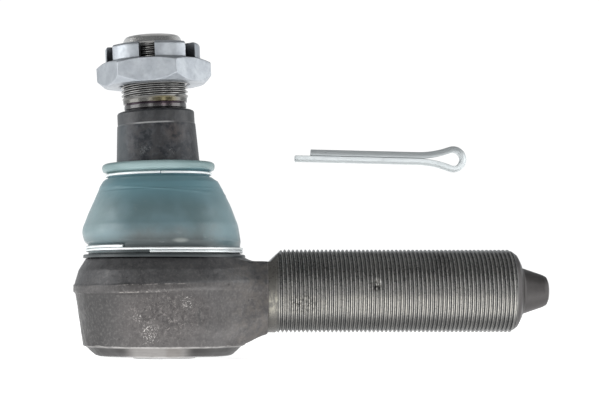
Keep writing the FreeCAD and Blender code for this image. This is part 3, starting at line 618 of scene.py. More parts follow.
def forging_material():
    m = Mat("forged_scale")
    x, y, z = m.xyz()
    big = m.noise(11.0, 3.0, 0.55)
    mid = m.noise(2.6, 4.0, 0.6)
    fine = m.noise(0.9, 3.0, 0.6)
    patch = m.ramp(m.math("ADD", m.math("MULTIPLY", big, 0.6), m.math("MULTIPLY", mid, 0.4)), 0.38, 0.62)
    base = m.mix(patch, srgb(62, 60, 60), srgb(78, 76, 76))
    # painted light: the front of the lower side is painted lighter
    painted_light_front_low = m.math("MULTIPLY", m.blob((-2.0, -31.0, -9.0), (27.0, 26.0, 15.0)), m.ramp(mid, 0.30, 0.60, 0.45, 1.0))
    base = m.mix(m.math("MULTIPLY", painted_light_front_low, 0.8), base, srgb(86, 82, 81))
    # above the trimming line the dark scale is whole
    shift = m.ramp(x, -30.0, 26.0, 1.9, 2.9)
    above = m.ramp(m.math("SUBTRACT", z, m.math("ADD", shift, m.math("MULTIPLY", m.math("SUBTRACT", mid, 0.5), 0.6))), -0.2, 0.3)
    base = m.mix(m.math("MULTIPLY", above, 0.9), base, m.mix(patch, srgb(66, 66, 68), srgb(78, 78, 79)))
    # painted shade: the left flank, below the band, is darker
    painted_shade_left_flank = m.math("MULTIPLY", m.ramp(x, -10.0, -22.0), m.ramp(z, 0.5, -1.5))
    base = m.mix(m.math("MULTIPLY", painted_shade_left_flank, 0.9), base, srgb(46, 45, 45))
    # browner and mottled towards the neck
    neck = m.math("MULTIPLY", m.ramp(x, 16.0, 33.0), m.ramp(mid, 0.40, 0.62))
    base = m.mix(m.math("MULTIPLY", neck, 0.45), base, srgb(92, 86, 80))
    # grain
    base = m.mix(m.math("MULTIPLY", m.ramp(fine, 0.45, 0.70), 0.28), base, srgb(116, 113, 111))
    pits = m.ramp(m.noise(1.3, 5.0, 0.75), 0.30, 0.40, 1.0, 0.0)
    base = m.mix(m.math("MULTIPLY", pits, 0.5), base, srgb(42, 41, 41))
    # mottling where the hammer scale is half gone, on the front only
    mottle = m.ramp(m.noise(2.1, 6.0, 0.85, distort=0.5), 0.48, 0.57)
    mottle = m.math("MULTIPLY", mottle, m.blob((2.0, -31.0, -8.5), (24.0, 18.0, 12.0)))
    base = m.mix(m.math("MULTIPLY", mottle, 0.8), base, srgb(54, 51, 51))
    # painted light: paler patches on the lower front
    lit = m.math("MULTIPLY", m.ramp(m.noise(1.2, 6.0, 0.85, distort=0.3), 0.54, 0.62), m.blob((0.0, -31.0, -7.0), (21.0, 18.0, 13.0)))
    base = m.mix(m.math("MULTIPLY", lit, 0.7), base, srgb(142, 137, 134))
    # short upright smears of oil on the right flank of the head
    smear = m.ramp(m.noise(1.6, 4.0, 0.7, p=m.scaled(1.0, 1.0, 0.3)), 0.54, 0.66)
    smear = m.math("MULTIPLY", smear, m.blob((15.0, -28.0, -8.0), (9.0, 16.0, 13.0)))
    base = m.mix(m.math("MULTIPLY", smear, 0.7), base, srgb(50, 51, 51))
    # the two edges of the trimmed band, bright where they were rubbed
    wander = m.math("MULTIPLY", m.math("SUBTRACT", m.noise(6.0, 3.0, 0.6), 0.5), 0.5)
    top_edge = m.math("ABSOLUTE", m.math("SUBTRACT", m.math("ADD", z, wander), shift))
    low_edge = m.math("ABSOLUTE", m.math("SUBTRACT", m.math("ADD", z, wander), m.math("SUBTRACT", shift, 2.5)))
    gaps = m.ramp(m.noise(1.7, 5.0, 0.8, distort=0.5), 0.47, 0.58)
    middle = m.ramp(m.math("ABSOLUTE", m.math("ADD", x, 4.0)), 8.0, 16.0, 1.0, 0.0)
    bright = m.math("MULTIPLY", m.ramp(top_edge, 0.06, 0.26, 1.0, 0.0), m.math("MULTIPLY", gaps, middle))
    base = m.mix(m.math("MULTIPLY", bright, 0.5), base, srgb(176, 171, 166))
    left = m.ramp(m.math("ABSOLUTE", m.math("ADD", x, 9.5)), 4.5, 9.0, 1.0, 0.0)
    bright = m.math("MULTIPLY", m.ramp(low_edge, 0.06, 0.26, 1.0, 0.0), m.math("MULTIPLY", m.ramp(m.noise(1.5, 4.0, 0.8), 0.48, 0.56), left))
    base = m.mix(m.math("MULTIPLY", bright, 0.6), base, srgb(178, 173, 168))
    # painted shade: a dark line under the lower edge of the band, on the left and middle
    painted_shade_below_band = m.ramp(m.math("ABSOLUTE", m.math("SUBTRACT", m.math("ADD", z, wander), m.math("SUBTRACT", shift, 3.05))), 0.1, 0.5, 1.0, 0.0)
    base = m.mix(m.math("MULTIPLY", m.math("MULTIPLY", painted_shade_below_band, m.ramp(x, -6.0, 4.0, 1.0, 0.0)), 0.45), base, srgb(44, 42, 42))
    # bright flecks where the scale came off
    near = m.math("MAXIMUM", m.blob((-5.0, -31.0, -14.5), (6.0, 14.0, 8.0)), m.blob((8.0, -31.0, -4.0), (4.0, 14.0, 4.5)))
    near = m.math("MAXIMUM", near, m.math("MULTIPLY", m.blob((-9.0, -31.0, -9.5), (6.0, 14.0, 4.0)), 0.8))
    near = m.math("MAXIMUM", near, m.math("MULTIPLY", m.blob((-4.0, -31.0, -8.0), (22.0, 14.0, 14.0)), 0.30))
    limit = m.ramp(near, 0.0, 1.0, 0.74, 0.56, smooth=False)
    spark = m.noise(0.55, 4.0, 0.75, distort=0.8)
    fleck = m.ramp(m.math("SUBTRACT", spark, limit), 0.0, 0.03)
    base = m.mix(m.math("MULTIPLY", fleck, m.math("ADD", m.math("MULTIPLY", near, 0.5), 0.3)), base, srgb(206, 202, 198))
    rough = m.ramp(mid, 0.3, 0.7, 0.34, 0.52)
    height = m.math("ADD", m.math("MULTIPLY", mid, 0.8), m.math("MULTIPLY", fine, 0.35))
    height = m.math("SUBTRACT", height, m.math("MULTIPLY", pits, 0.35))
    return m.set(Base_Color=base, Roughness=rough, Metallic=0.35, Normal=m.bump(height, 0.13, 1.0), Specular_IOR_Level=0.55)


def shank_material():
    m = Mat("turned_thread_steel")
    x, y, z = m.xyz()
    thread_height = m.attribute("thread_height")
    along = m.noise(3.0, 3.0, 0.6, p=m.scaled(0.9, 0.12, 0.12))
    mid = m.noise(1.3, 4.0, 0.65)
    fine = m.noise(0.35, 2.0, 0.6)
    dark = m.mix(along, srgb(98, 99, 101), srgb(126, 126, 125))
    light = m.mix(along, srgb(146, 145, 142), srgb(176, 173, 167))
    # crests are rubbed lighter; crests and groove bottoms are also painted lighter as highlight lines, the flanks stay
    # dark
    crest_root_highlight = m.math("ABSOLUTE", m.math("SUBTRACT", m.math("MULTIPLY", thread_height, 2.0), 1.0))
    uneven = m.math("MULTIPLY", m.math("SUBTRACT", mid, 0.5), 0.9)
    crest = m.ramp(m.math("ADD", crest_root_highlight, uneven), 0.45, 1.15)
    crest = m.math("MULTIPLY", crest, m.ramp(thread_height, 0.2, 0.8, 0.62, 1.0))
    base = m.mix(crest, dark, light)
    # painted highlight: a light strip along the front, with painted shade below it on the front and above it
    streaks = m.noise(1.6, 4.0, 0.7, p=m.scaled(0.6, 1.0, 0.25))
    painted_highlight_strip = m.math("MULTIPLY", m.ramp(m.math("ABSOLUTE", m.math("ADD", z, m.math("ADD", m.math("MULTIPLY", mid, 1.0), 4.3))), 2.6, 4.2, 1.0, 0.0), m.ramp(y, -6.0, -11.0))
    base = m.mix(m.math("MULTIPLY", m.math("MULTIPLY", painted_highlight_strip, crest), m.ramp(streaks, 0.35, 0.65, 0.15, 0.6)), base, srgb(196, 192, 182))
    # painted shade: darker low on the front
    painted_shade_low_front = m.math("MULTIPLY", m.ramp(z, -8.0, -11.5), m.ramp(y, 2.0, -4.0))
    base = m.mix(m.math("MULTIPLY", painted_shade_low_front, 0.5), base, srgb(50, 51, 52))
    # painted shade: a cool dark tint on the upper side
    painted_shade_top = m.math("MULTIPLY", m.ramp(z, 0.5, 4.0), m.ramp(streaks, 0.40, 0.62, 0.1, 0.6))
    base = m.mix(m.math("MULTIPLY", painted_shade_top, 0.2), base, srgb(72, 80, 86))
    # oil and scale left in spots along the first threads, and a few smaller stains
    spots = m.ramp(m.noise(0.8, 5.0, 0.8), 0.50, 0.56)
    where = m.math("MAXIMUM", m.blob((49.0, -14.0, -4.5), (9.0, 10.0, 5.5)), m.math("MULTIPLY", m.blob((99.0, -9.0, 11.0), (5.0, 10.0, 4.0)), 0.9))
    where = m.math("MAXIMUM", where, m.math("MULTIPLY", m.blob((52.0, -10.0, 9.0), (13.0, 12.0, 6.0)), 0.6))
    base = m.mix(m.math("MULTIPLY", m.math("MULTIPLY", spots, where), 0.85), base, srgb(30, 30, 30))
    # a struck spot, bright beside dark
    base = m.mix(m.math("MULTIPLY", m.blob((75.0, -14.2, 1.6), (2.4, 4.0, 2.6)), m.ramp(m.noise(0.9, 3.0, 0.7), 0.40, 0.50)), base, srgb(34, 34, 34))
    hit = m.blob((75.6, -14.2, 3.2), (1.7, 4.0, 2.2))
    base = m.mix(m.math("MULTIPLY", hit, m.ramp(m.noise(0.6, 3.0, 0.7), 0.46, 0.54)), base, srgb(230, 228, 222))
    # the plain land by the neck keeps an olive tint; painted shade darkens it above and below, and a painted highlight
    # lies on its front
    land = m.ramp(x, 39.6, 41.2, 1.0, 0.0)
    base = m.mix(m.math("MULTIPLY", land, 0.85), base, srgb(82, 80, 75))
    painted_shade_land_edges = m.math("MULTIPLY", land, m.ramp(m.math("ABSOLUTE", m.math("ADD", z, 3.0)), 5.0, 10.0))
    base = m.mix(m.math("MULTIPLY", painted_shade_land_edges, 0.6), base, srgb(84, 82, 79))
    # painted highlight: a pale cream patch on the front of the land
    painted_highlight_land = m.math("MULTIPLY", land, m.math("MULTIPLY", m.blob((38.5, -15.0, -4.5), (4.0, 10.0, 6.0)), m.ramp(m.noise(1.0, 5.0, 0.75, p=m.scaled(1.0, 1.0, 0.35)), 0.42, 0.60)))
    base = m.mix(m.math("MULTIPLY", painted_highlight_land, 0.4), base, srgb(188, 184, 168))
    # the end and its centring lug are still forged, not turned
    raw = m.ramp(x, 125.5, 126.2)
    base = m.mix(raw, base, m.mix(mid, srgb(54, 52, 52), srgb(74, 71, 70)))
    rough = m.ramp(mid, 0.3, 0.7, 0.24, 0.38)
    rough = m.mix(raw, rough, (0.42, 0.42, 0.42))
    metal = m.math("MULTIPLY", m.ramp(raw, 0.0, 1.0, 0.72, 0.35), m.ramp(land, 0.0, 1.0, 1.0, 0.45))
    rings = m.t.nodes.new("ShaderNodeTexWave")
    rings.wave_type = "BANDS"
    rings.bands_direction = "X"
    rings.inputs["Scale"].default_value = 0.9
    rings.inputs["Distortion"].default_value = 0.0
    m.t.links.new(m.p, rings.inputs["Vector"])
    height = m.math("ADD", m.math("MULTIPLY", rings.outputs["Fac"], 0.25), m.math("MULTIPLY", fine, 0.5))
    return m.set(Base_Color=base, Roughness=rough, Metallic=metal, Normal=m.bump(height, 0.02, 0.8))


def lip_material():
    m = Mat("rolled_lip_steel")
    x, y, z = m.xyz()
    mid = m.noise(2.5, 4.0, 0.6)
    fine = m.noise(0.8, 3.0, 0.6)
    streak = m.noise(4.0, 3.0, 0.6, p=m.scaled(0.4, 0.4, 3.5))
    base = m.mix(streak, srgb(92, 90, 89), srgb(128, 126, 124))
    # painted shade: the outer sides of the roll are darker
    painted_shade_lip_sides = m.ramp(m.math("ABSOLUTE", m.math("ADD", x, 2.0)), 7.0, 13.0)
    base = m.mix(m.math("MULTIPLY", painted_shade_lip_sides, 0.9), base, srgb(36, 35, 35))
    base = m.mix(m.math("MULTIPLY", m.ramp(mid, 0.55, 0.75), 0.35), base, srgb(74, 72, 71))
    # painted shade: a dark band on the front between the highlights
    wave = m.math("MULTIPLY", m.ramp(m.math("ABSOLUTE", m.math("SUBTRACT", x, 3.5)), 1.5, 3.5, 1.0, 0.0), m.ramp(y, -10.0, -18.0))
    base = m.mix(m.math("MULTIPLY", wave, 0.4), base, srgb(84, 80, 76))
    # the edge next to the forging is rubbed bright
    edge = m.math("MULTIPLY", m.ramp(z, -19.95, -19.55), m.ramp(m.noise(3.0, 3.0, 0.6), 0.35, 0.55, 0.3, 1.0))
    base = m.mix(m.math("MULTIPLY", edge, 0.7), base, srgb(150, 148, 146))
    return m.set(Base_Color=base, Roughness=m.ramp(mid, 0.3, 0.7, 0.30, 0.44), Metallic=0.9,
                 Normal=m.bump(m.math("ADD", fine, m.math("MULTIPLY", mid, 0.8)), 0.02, 0.7))


def plate_material():
    m = Mat("pressed_plate_steel")
    mid = m.noise(3.0, 4.0, 0.6)
    fine = m.noise(0.8, 3.0, 0.6)
    base = m.mix(mid, srgb(160, 160, 160), srgb(192, 192, 192))
    base = m.mix(m.math("MULTIPLY", m.ramp(fine, 0.60, 0.78), 0.3), base, srgb(120, 119, 118))
    return m.set(Base_Color=base, Roughness=m.ramp(mid, 0.3, 0.7, 0.26, 0.40), Metallic=0.85,
                 Normal=m.bump(fine, 0.015, 0.6))


def stud_material():
    m = Mat("phosphated_stud_steel")
    p = m.turned(LEAN, "Y")
    x, y, z = m.xyz(p)
    thread_height = m.attribute("thread_height")
    big = m.noise(7.0, 4.0, 0.6, p=p)
    mid = m.noise(1.8, 4.0, 0.65, p=p)
    fine = m.noise(0.45, 3.0, 0.6, p=p)
    cone = m.mix(m.ramp(m.noise(4.0, 4.0, 0.65, p=p), 0.40, 0.60), srgb(26, 30, 36), srgb(54, 54, 56))
    cone = m.mix(m.math("MULTIPLY", m.ramp(mid, 0.46, 0.66), 0.5), cone, srgb(74, 76, 80))
    # a brown heat mark on the right; painted light: the left edge is lighter and bluer
    brown = m.math("MULTIPLY", m.blob((6.5, -12.5, 56.0), (5.0, 8.0, 5.0), p=p), m.ramp(mid, 0.35, 0.6, 0.0, 0.6))
    cone = m.mix(m.math("MULTIPLY", brown, 0.5), cone, srgb(84, 70, 62))
    painted_light_left_edge = m.ramp(x, -9.0, -13.0)
    cone = m.mix(m.math("MULTIPLY", painted_light_left_edge, 0.5), cone, srgb(88, 96, 100))
    # handling scratches
    scratch = m.noise(0.7, 5.0, 0.8, p=m.scaled(1.0, 1.0, 0.7, p=p), distort=0.3)
    zone = m.math("MAXIMUM", m.blob((-4.5, -14.0, 50.0), (5.0, 8.0, 3.8), p=p), m.math("MULTIPLY", m.blob((4.5, -14.0, 49.0), (4.0, 8.0, 4.0), p=p), 0.8))
    zone = m.math("MAXIMUM", zone, m.math("MULTIPLY", m.blob((-4.0, -14.0, 57.0), (8.0, 8.0, 4.0), p=p), 0.35))
    limit = m.ramp(zone, 0.0, 1.0, 0.74, 0.53, smooth=False)
    mark = m.ramp(m.math("SUBTRACT", scratch, limit), 0.0, 0.03)
    cone = m.mix(m.math("MULTIPLY", mark, m.math("ADD", m.math("MULTIPLY", zone, 0.4), 0.1)), cone, srgb(118, 122, 124))
    # the collar above the cone is a shade lighter
    cone = m.mix(m.math("MULTIPLY", m.ramp(z, 59.8, 60.4), 0.6), cone, m.mix(mid, srgb(48, 49, 50), srgb(74, 74, 75)))
    # the edge between cone and collar is rubbed bright in front
    edge = m.math("MULTIPLY", m.ramp(m.math("ABSOLUTE", m.math("SUBTRACT", z, 59.75)), 0.1, 0.4, 1.0, 0.0), m.ramp(m.math("ABSOLUTE", m.math("ADD", x, 1.0)), 4.0, 8.5, 1.0, 0.2))
    cone = m.mix(m.math("MULTIPLY", edge, 0.8), cone, srgb(196, 196, 196))
    # bands of the thread relief, from the collar upwards
    root = m.mix(mid, srgb(58, 58, 58), srgb(78, 77, 76))
    crest = m.mix(mid, srgb(116, 116, 115), srgb(146, 145, 143))
    # crest and root both catch the light, the flanks between stay dark
    crest_root_highlight = m.math("ABSOLUTE", m.math("SUBTRACT", m.math("MULTIPLY", thread_height, 2.0), 1.0))
    thread = m.mix(m.ramp(crest_root_highlight, 0.15, 0.9), root, crest)
    tint = m.blob((3.5, -11.0, 68.0), (7.0, 7.0, 3.0), p=p)
    runout = m.mix(tint, srgb(98, 97, 94), srgb(98, 92, 70))
    pink = m.mix(tint, srgb(88, 87, 87), srgb(86, 72, 78))
    # painted shade: the narrow groove above the collar is painted near black
    base = m.mix(m.ramp(z, 64.5, 64.75), cone, srgb(24, 23, 25))
    base = m.mix(m.ramp(z, 65.45, 65.65), base, pink)
    base = m.mix(m.ramp(z, 66.75, 66.95), base, srgb(58, 48, 56))
    base = m.mix(m.ramp(z, 67.35, 67.65), base, runout)
    base = m.mix(m.ramp(z, 68.9, 69.6), base, thread)
    # painted light: the chamfer and the end face are painted near white, lighter than bare steel
    base = m.mix(m.ramp(z, 88.2, 88.6), base, m.mix(mid, srgb(226, 225, 223), srgb(242, 241, 239)))
    bare = m.ramp(z, 64.6, 65.4)
    rough = m.mix(bare, (0.42, 0.42, 0.42), (0.20, 0.20, 0.20))
    rough = m.math("ADD", rough, m.math("MULTIPLY", m.math("SUBTRACT", mid, 0.5), 0.14))
    metal = m.ramp(bare, 0.0, 1.0, 0.40, 0.88)
    height = m.math("ADD", m.math("MULTIPLY", mid, 0.7), m.math("MULTIPLY", fine, 0.4))
    return m.set(Base_Color=base, Roughness=rough, Metallic=metal, Normal=m.bump(height, 0.03, 0.8))


def zinc_material():
    m = Mat("satin_zinc_plate")
    big = m.noise(5.0, 3.0, 0.55)
    mid = m.noise(1.4, 4.0, 0.65)
    fine = m.noise(0.4, 3.0, 0.65)
    base = m.mix(m.ramp(big, 0.35, 0.65), srgb(160, 165, 171), srgb(176, 181, 186))
    base = m.mix(m.math("MULTIPLY", m.ramp(mid, 0.52, 0.72), 0.3), base, srgb(146, 152, 158))
    # painted shade on the walls of the slots
    q = m.turned(math.radians(6.7), "Z", p=m.turned(LEAN, "Y"))
    x, y, z = m.xyz(q)
    walls = None
    for k in range(3):
        a = math.radians(60 * k)
        off = m.math("ABSOLUTE", m.math("ADD", m.math("MULTIPLY", x, math.cos(a)), m.math("MULTIPLY", y, math.sin(a))))
        walls = off if walls is None else m.math("MINIMUM", walls, off)
    inside = m.math("MULTIPLY", m.ramp(walls, 2.72, 2.90, 1.0, 0.0), m.ramp(z, 82.3, 83.2))
    base = m.mix(m.math("MULTIPLY", inside, 0.85), base, srgb(62, 65, 70))
    return m.set(Base_Color=base, Roughness=m.ramp(mid, 0.3, 0.7, 0.36, 0.50), Metallic=0.80,
                 Normal=m.bump(m.math("ADD", m.math("MULTIPLY", mid, 0.5), m.math("MULTIPLY", fine, 0.5)), 0.02, 0.8))


def pin_material():
    m = Mat("zinc_plated_wire")
    mid = m.noise(1.6, 4.0, 0.6)
    streak = m.noise(0.9, 3.0, 0.6, p=m.scaled(0.15, 1.0, 1.0))
    base = m.mix(streak, srgb(184, 190, 192), srgb(206, 211, 212))
    base = m.mix(m.math("MULTIPLY", m.ramp(mid, 0.58, 0.76), 0.3), base, srgb(140, 146, 150))
    return m.set(Base_Color=base, Roughness=m.ramp(mid, 0.3, 0.7, 0.38, 0.50), Metallic=0.40,
                 Normal=m.bump(mid, 0.01, 0.6))


def wire_material():
    m = Mat("bright_drawn_wire")
    mid = m.noise(2.0, 4.0, 0.6)
    base = m.mix(mid, srgb(226, 232, 233), srgb(240, 244, 244))
    return m.set(Base_Color=base, Roughness=m.ramp(mid, 0.3, 0.7, 0.36, 0.46), Metallic=0.60,
                 Normal=m.bump(mid, 0.01, 0.4))


def boot_material():
    m = Mat("boot_rubber")
    x, y, z = m.xyz()
    up = m.turned(LEAN, "Y")
    _, _, s = m.xyz(up)
    big = m.noise(14.0, 3.0, 0.5)
    mid = m.noise(4.0, 4.0, 0.6)
    fine = m.noise(0.9, 3.0, 0.6)
    base = m.mix(m.ramp(big, 0.35, 0.65), srgb(90, 112, 116), srgb(101, 125, 131))
    # painted reflection: bluer and paler near the crown; greyer and browner low on the front of the belly
    base = m.mix(m.math("MULTIPLY", m.ramp(z, 28.0, 38.0), 0.7), base, srgb(94, 134, 144))
    low = m.ramp(m.math("ADD", z, m.math("MULTIPLY", mid, 6.0)), 28.0, 19.0)
    front = m.ramp(m.math("ABSOLUTE", m.math("SUBTRACT", x, 1.0)), 8.0, 22.0, 1.0, 0.15)
    base = m.mix(m.math("MULTIPLY", m.math("MULTIPLY", low, front), 0.85), base, srgb(86, 88, 87))
    # dust on both flanks, more on the left
    dust = m.math("MULTIPLY", m.ramp(m.math("ADD", x, m.math("MULTIPLY", mid, 8.0)), -7.0, -22.0), m.ramp(z, 40.0, 28.0, 0.35, 1.0))
    dust = m.math("MULTIPLY", dust, m.ramp(z, 17.0, 24.0, 0.25, 1.0))
    base = m.mix(m.math("MULTIPLY", dust, 0.6), base, srgb(146, 167, 170))
    dust = m.math("MULTIPLY", m.ramp(m.math("ADD", x, m.math("MULTIPLY", mid, 6.0)), 15.0, 26.0), m.ramp(z, 40.0, 28.0, 0.5, 1.0))
    base = m.mix(m.math("MULTIPLY", dust, 0.5), base, srgb(126, 154, 161))
    # painted shade above the lower wire, strongest in the middle
    painted_shade_above_wire = m.math("MULTIPLY", m.ramp(m.math("ADD", z, m.math("MULTIPLY", mid, 1.6)), 21.0, 17.2), m.ramp(m.math("ABSOLUTE", m.math("SUBTRACT", x, 2.0)), 10.0, 26.0, 1.0, 0.55))
    base = m.mix(m.math("MULTIPLY", painted_shade_above_wire, 0.85), base, srgb(46, 58, 60))
    # painted highlight: a small glint low on the front
    glint = m.blob((5.8, -27.0, 17.6), (3.6, 6.0, 1.1))
    base = m.mix(m.math("MULTIPLY", glint, 0.5), base, srgb(150, 156, 152))
    # the foot bead below the wire stays dark
    base = m.mix(m.ramp(z, 13.9, 13.2), base, srgb(50, 56, 58))
    # the lip is paler, and paler still across its middle as a painted highlight
    lip = m.ramp(s, 42.2, 42.9)
    base = m.mix(m.math("MULTIPLY", lip, 0.85), base, m.mix(m.ramp(m.math("ABSOLUTE", m.math("ADD", x, 4.0)), 5.0, 15.0, 1.0, 0.0), srgb(122, 145, 145), srgb(152, 174, 174)))
    # scuffs
    scuff = m.ramp(m.noise(2.5, 5.0, 0.7, p=m.scaled(0.6, 0.6, 1.6)), 0.60, 0.72)
    base = m.mix(m.math("MULTIPLY", scuff, 0.22), base, srgb(136, 144, 144))
    height = m.math("ADD", m.math("MULTIPLY", mid, 0.6), m.math("MULTIPLY", fine, 0.2))
    return m.set(Base_Color=base, Roughness=m.ramp(mid, 0.3, 0.7, 0.30, 0.44), Normal=m.bump(height, 0.05, 0.6),
                 Specular_IOR_Level=0.5)


def plain_metal(name, a, b, rough):
    m = Mat(name)
    mid = m.noise(2.0, 4.0, 0.6)
    fine = m.noise(0.5, 3.0, 0.6)
    base = m.mix(m.ramp(mid, 0.3, 0.7), srgb(*a), srgb(*b))
    return m.set(Base_Color=base, Roughness=m.ramp(fine, 0.3, 0.7, rough - 0.06, rough + 0.08), Metallic=0.9,
                 Normal=m.bump(fine, 0.02, 0.7))


def plastic_material():
    m = Mat("acetal_shell")
    mid = m.noise(3.0, 3.0, 0.5)
    fine = m.noise(0.5, 2.0, 0.5)
    base = m.mix(mid, srgb(226, 222, 206), srgb(238, 235, 224))
    return m.set(Base_Color=base, Roughness=m.ramp(mid, 0.3, 0.7, 0.38, 0.5), Normal=m.bump(fine, 0.01, 0.5))


def seal_material():
    m = Mat("seal_rubber")
    mid = m.noise(1.5, 3.0, 0.5)
    base = m.mix(mid, srgb(24, 24, 25), srgb(38, 38, 39))
    return m.set(Base_Color=base, Roughness=m.ramp(mid, 0.3, 0.7, 0.4, 0.6), Normal=m.bump(mid, 0.02, 0.6))


FORGED = forging_material()
TURNED = shank_material()
LIP = lip_material()
PLATE = plate_material()
STUDM = stud_material()
ZINC = zinc_material()
PINM = pin_material()
WIRE = wire_material()
BOOT = boot_material()


# ------------------------------------------------------------------ housing
HEAD = Profile([(-2, 16.2), (24.5, 16.2), (25.0, 15.7), (25.0, 14.8), (24.2, 14.3), (24.2, 11.6),
                (28.0, 11.6), (30.7, 7.3), (32.3, 1.9), (32.3, -0.5), (31.75, -0.95), (31.3, -3.6), (28.9, -19.6),
                (28.95, -26.0), (-2, -26.0)], 0.18)
BORE = Profile([(-2, 20.0), (20.6, 20.0), (20.6, 16.2), (18.1, 11.6), (16.9, 8.45), (21.08, 8.45),
                (21.08, -15.4), (23.78, -15.4), (23.78, -17.1), (24.58, -17.1), (24.58, -26.0), (-2, -26.0)], 0.0)
WEB_X = np.array([14.0, 27.5, 31.0, 34.6, 36.8])
WEB_HALF = np.array([26.5, 19.3, 17.5, 16.0, 15.4])
WEB_LOW = np.array([19.25, 19.2, 17.6, 16.0, 15.3])


def forging(p):
    x, y, z = p[:, 0], p[:, 1], p[:, 2]
    r = np.hypot(x, y)
    rise = step(-30, 26, x) * 1.9
    zz = z - rise * np.exp(-((z - 1.2) / 5.0) ** 2)
    head = HEAD(r, zz)
    w = np.interp(x, WEB_X, WEB_HALF)
    b = np.interp(x, WEB_X, WEB_LOW)
    a = np.abs(y)
    ln = b - 3.5
    top = z - 10.5
    upper = ((a - w) * 7.5 + (z - 3.0) * 4.2) / 8.596
    side = ((a - w) * ln - (z - 3.0) * 0.5) / np.sqrt(ln * ln + 0.25)
    under = ((a - (w - 0.5)) * 6.5 - (z + (b - 6.5)) * 6.0) / 8.846
    low = -z - b
    k = 1.4
    web = smax(smax(smax(upper, side, 1.0), smax(under, low, k), k), top, 0.8)
    web = np.maximum(web, 8.0 - x)
    join = 1.0 + 3.6 * step(-18.5, -12.0, z)
    d = smin(head, web, join)
    # trimmed flash, a rough low ridge on the parting line
    near = np.abs(d) < 1.6
    q = p[near]
    add = np.zeros(len(p))
    top = 2.05 + rise[near] * 0.45 + 0.25 * noise3(q, 6.0, 3)
    rough = 0.5 + 0.5 * noise3(q * np.array([1, 1, 1.6]), 1.3, 4)
    outside = step(24.0, 27.0, r[near])
    band = step(top + 0.25, top - 0.1, q[:, 2]) * step(top - 2.75, top - 2.4, q[:, 2])
    ridge = band * (0.16 + 0.16 * rough) * outside
    ridge = ridge * (1 - 0.92 * step(-9.0, 3.0, q[:, 0]) * (q[:, 1] < 0))
    relief = 0.10 * noise3(q, 7.0, 6) + 0.055 * noise3(q, 2.4, 7) + 0.03 * noise3(q, 1.0, 8)
    # struck nicks
    for cx, cz, size, deep in ((-14.2, 0.3, 1.2, 0.35), (-10.8, -0.6, 0.8, 0.2), (14.5, -6.0, 0.9, 0.16),
                               (-6.5, 8.2, 0.9, 0.16), (3.0, 9.2, 0.7, 0.12), (21.0, -9.0, 1.0, 0.15),
                               (-20.0, -12.0, 1.1, 0.15)):
        cy = -math.sqrt(max(0.0, 31.8 ** 2 - cx ** 2))
        dist2 = ((q - np.array([cx, cy, cz])) ** 2).sum(1)
        relief = relief - deep * np.exp(-dist2 / size ** 2)
    add[near] = ridge + relief
    d = d - add
    d = np.where(x < 12.0, smax(d, r - 32.5, 0.1), d)
    d = smax(d, x - 36.8, 0.5)
    d = np.maximum(d, -19.3 - z)
    inner = BORE(r, z)
    return np.maximum(d, -inner)


voxel = 0.42
v, q = field_mesh(forging, (-33.8, -33.8, -20.2), (37.6, 33.8, 17.0), voxel)
piece("housing_forging", v, q, "housing", "housing", FORGED, angle=42)

# rolled lip that holds the closure plate, turned bright
lip = rounded([(28.9, -18.9), (28.95, -19.32), (27.5, -19.9), (26.1, -21.3), (24.6, -22.6), (23.4, -23.0),
               (21.85, -22.9), (21.85, -20.05), (24.5, -20.0), (24.5, -18.9)],
              [0, 0.12, 0.5, 1.2, 1.0, 0.35, 0.25, 0.1, 0.1, 0])
lip_wobble = lambda a, s, r: 0.05 * np.sin(a * 7 + s) + 0.03 * np.sin(a * 17 + 2 * s)
v, f, rings = lathe(lip, 200, lip_wobble)
n = len(rings[0])
f += [(rings[-1][i], rings[-1][(i + 1) % n], rings[0][(i + 1) % n], rings[0][i]) for i in range(n)]
piece("housing_lip", v, f, "housing", "housing", LIP, angle=30)

# threaded shank
END = [(124.9, 15.0), (125.3, 14.6), (126.1, 14.1), (127.3, 13.2), (128.3, 11.4), (129.3, 8.5)]
TURN_X = Matrix(((0, 0, 1), (0, 1, 0), (-1, 0, 0)))  # local Z to +X, local X to -Z


def shank_envelope(s, a):
    s = np.asarray(s, float)
    r = np.interp(s, [36.0, 42.3, 124.9, 125.3, 126.1, 127.3, 128.3, 129.3],
                  [14.88, 15.0, 15.0, 14.6, 14.1, 13.2, 11.4, 8.5])
    up = -np.cos(a)  # local X runs down
    lim = np.where(up > 0.05, (10.5 + np.maximum(0, s - 37.5)) / np.maximum(up, 0.05), 99.0)
    return smin(r, lim, 0.25)


def shank_depth(s, a):
    return step(39.2, 41.3, s)


v, f, thread_height = thread_body("shank", 15.0, 0.92,
                         [],
                         36.3, 128.6,
                         rounded([(10.6, 128.65), (8.5, 129.3), (5.9, 137.0), (5.2, 138.4), (3.9, 139.0), (0, 139.0)],
                                 [0, 1.6, 1.2, 0.8, 0.8, 0]),
                         1.5, 150, shank_depth, shank_envelope)
cap = np.array([[0, 0, 36.3]])
v = np.vstack([v, cap])
thread_height = np.append(thread_height, 1.0)
n = 150
f += [(len(v) - 1, (i + 1) % n, i) for i in range(n)]
thread_height = np.clip(thread_height, 0, 1)
piece("housing_shank", v, f, "housing", "housing", TURNED, angle=38, turn=TURN_X, attrs={"thread_height": thread_height})

# ------------------------------------------------------------ closure plate
plate = rounded([(0, -21.2), (10.6, -21.2), (11.6, -20.4), (12.9, -17.2), (24.4, -17.2), (24.4, -19.9),
                 (14.5, -19.9), (11.9, -23.0), (11.0, -24.1), (0, -24.1)],
                [0, 0.8, 0.6, 0.5, 0.2, 0.25, 0.7, 0.5, 0.6, 0])
v, f, _ = lathe(plate, 180)
piece("closure_cover", v, f, "housing", "closure_plate", PLATE, angle=30)

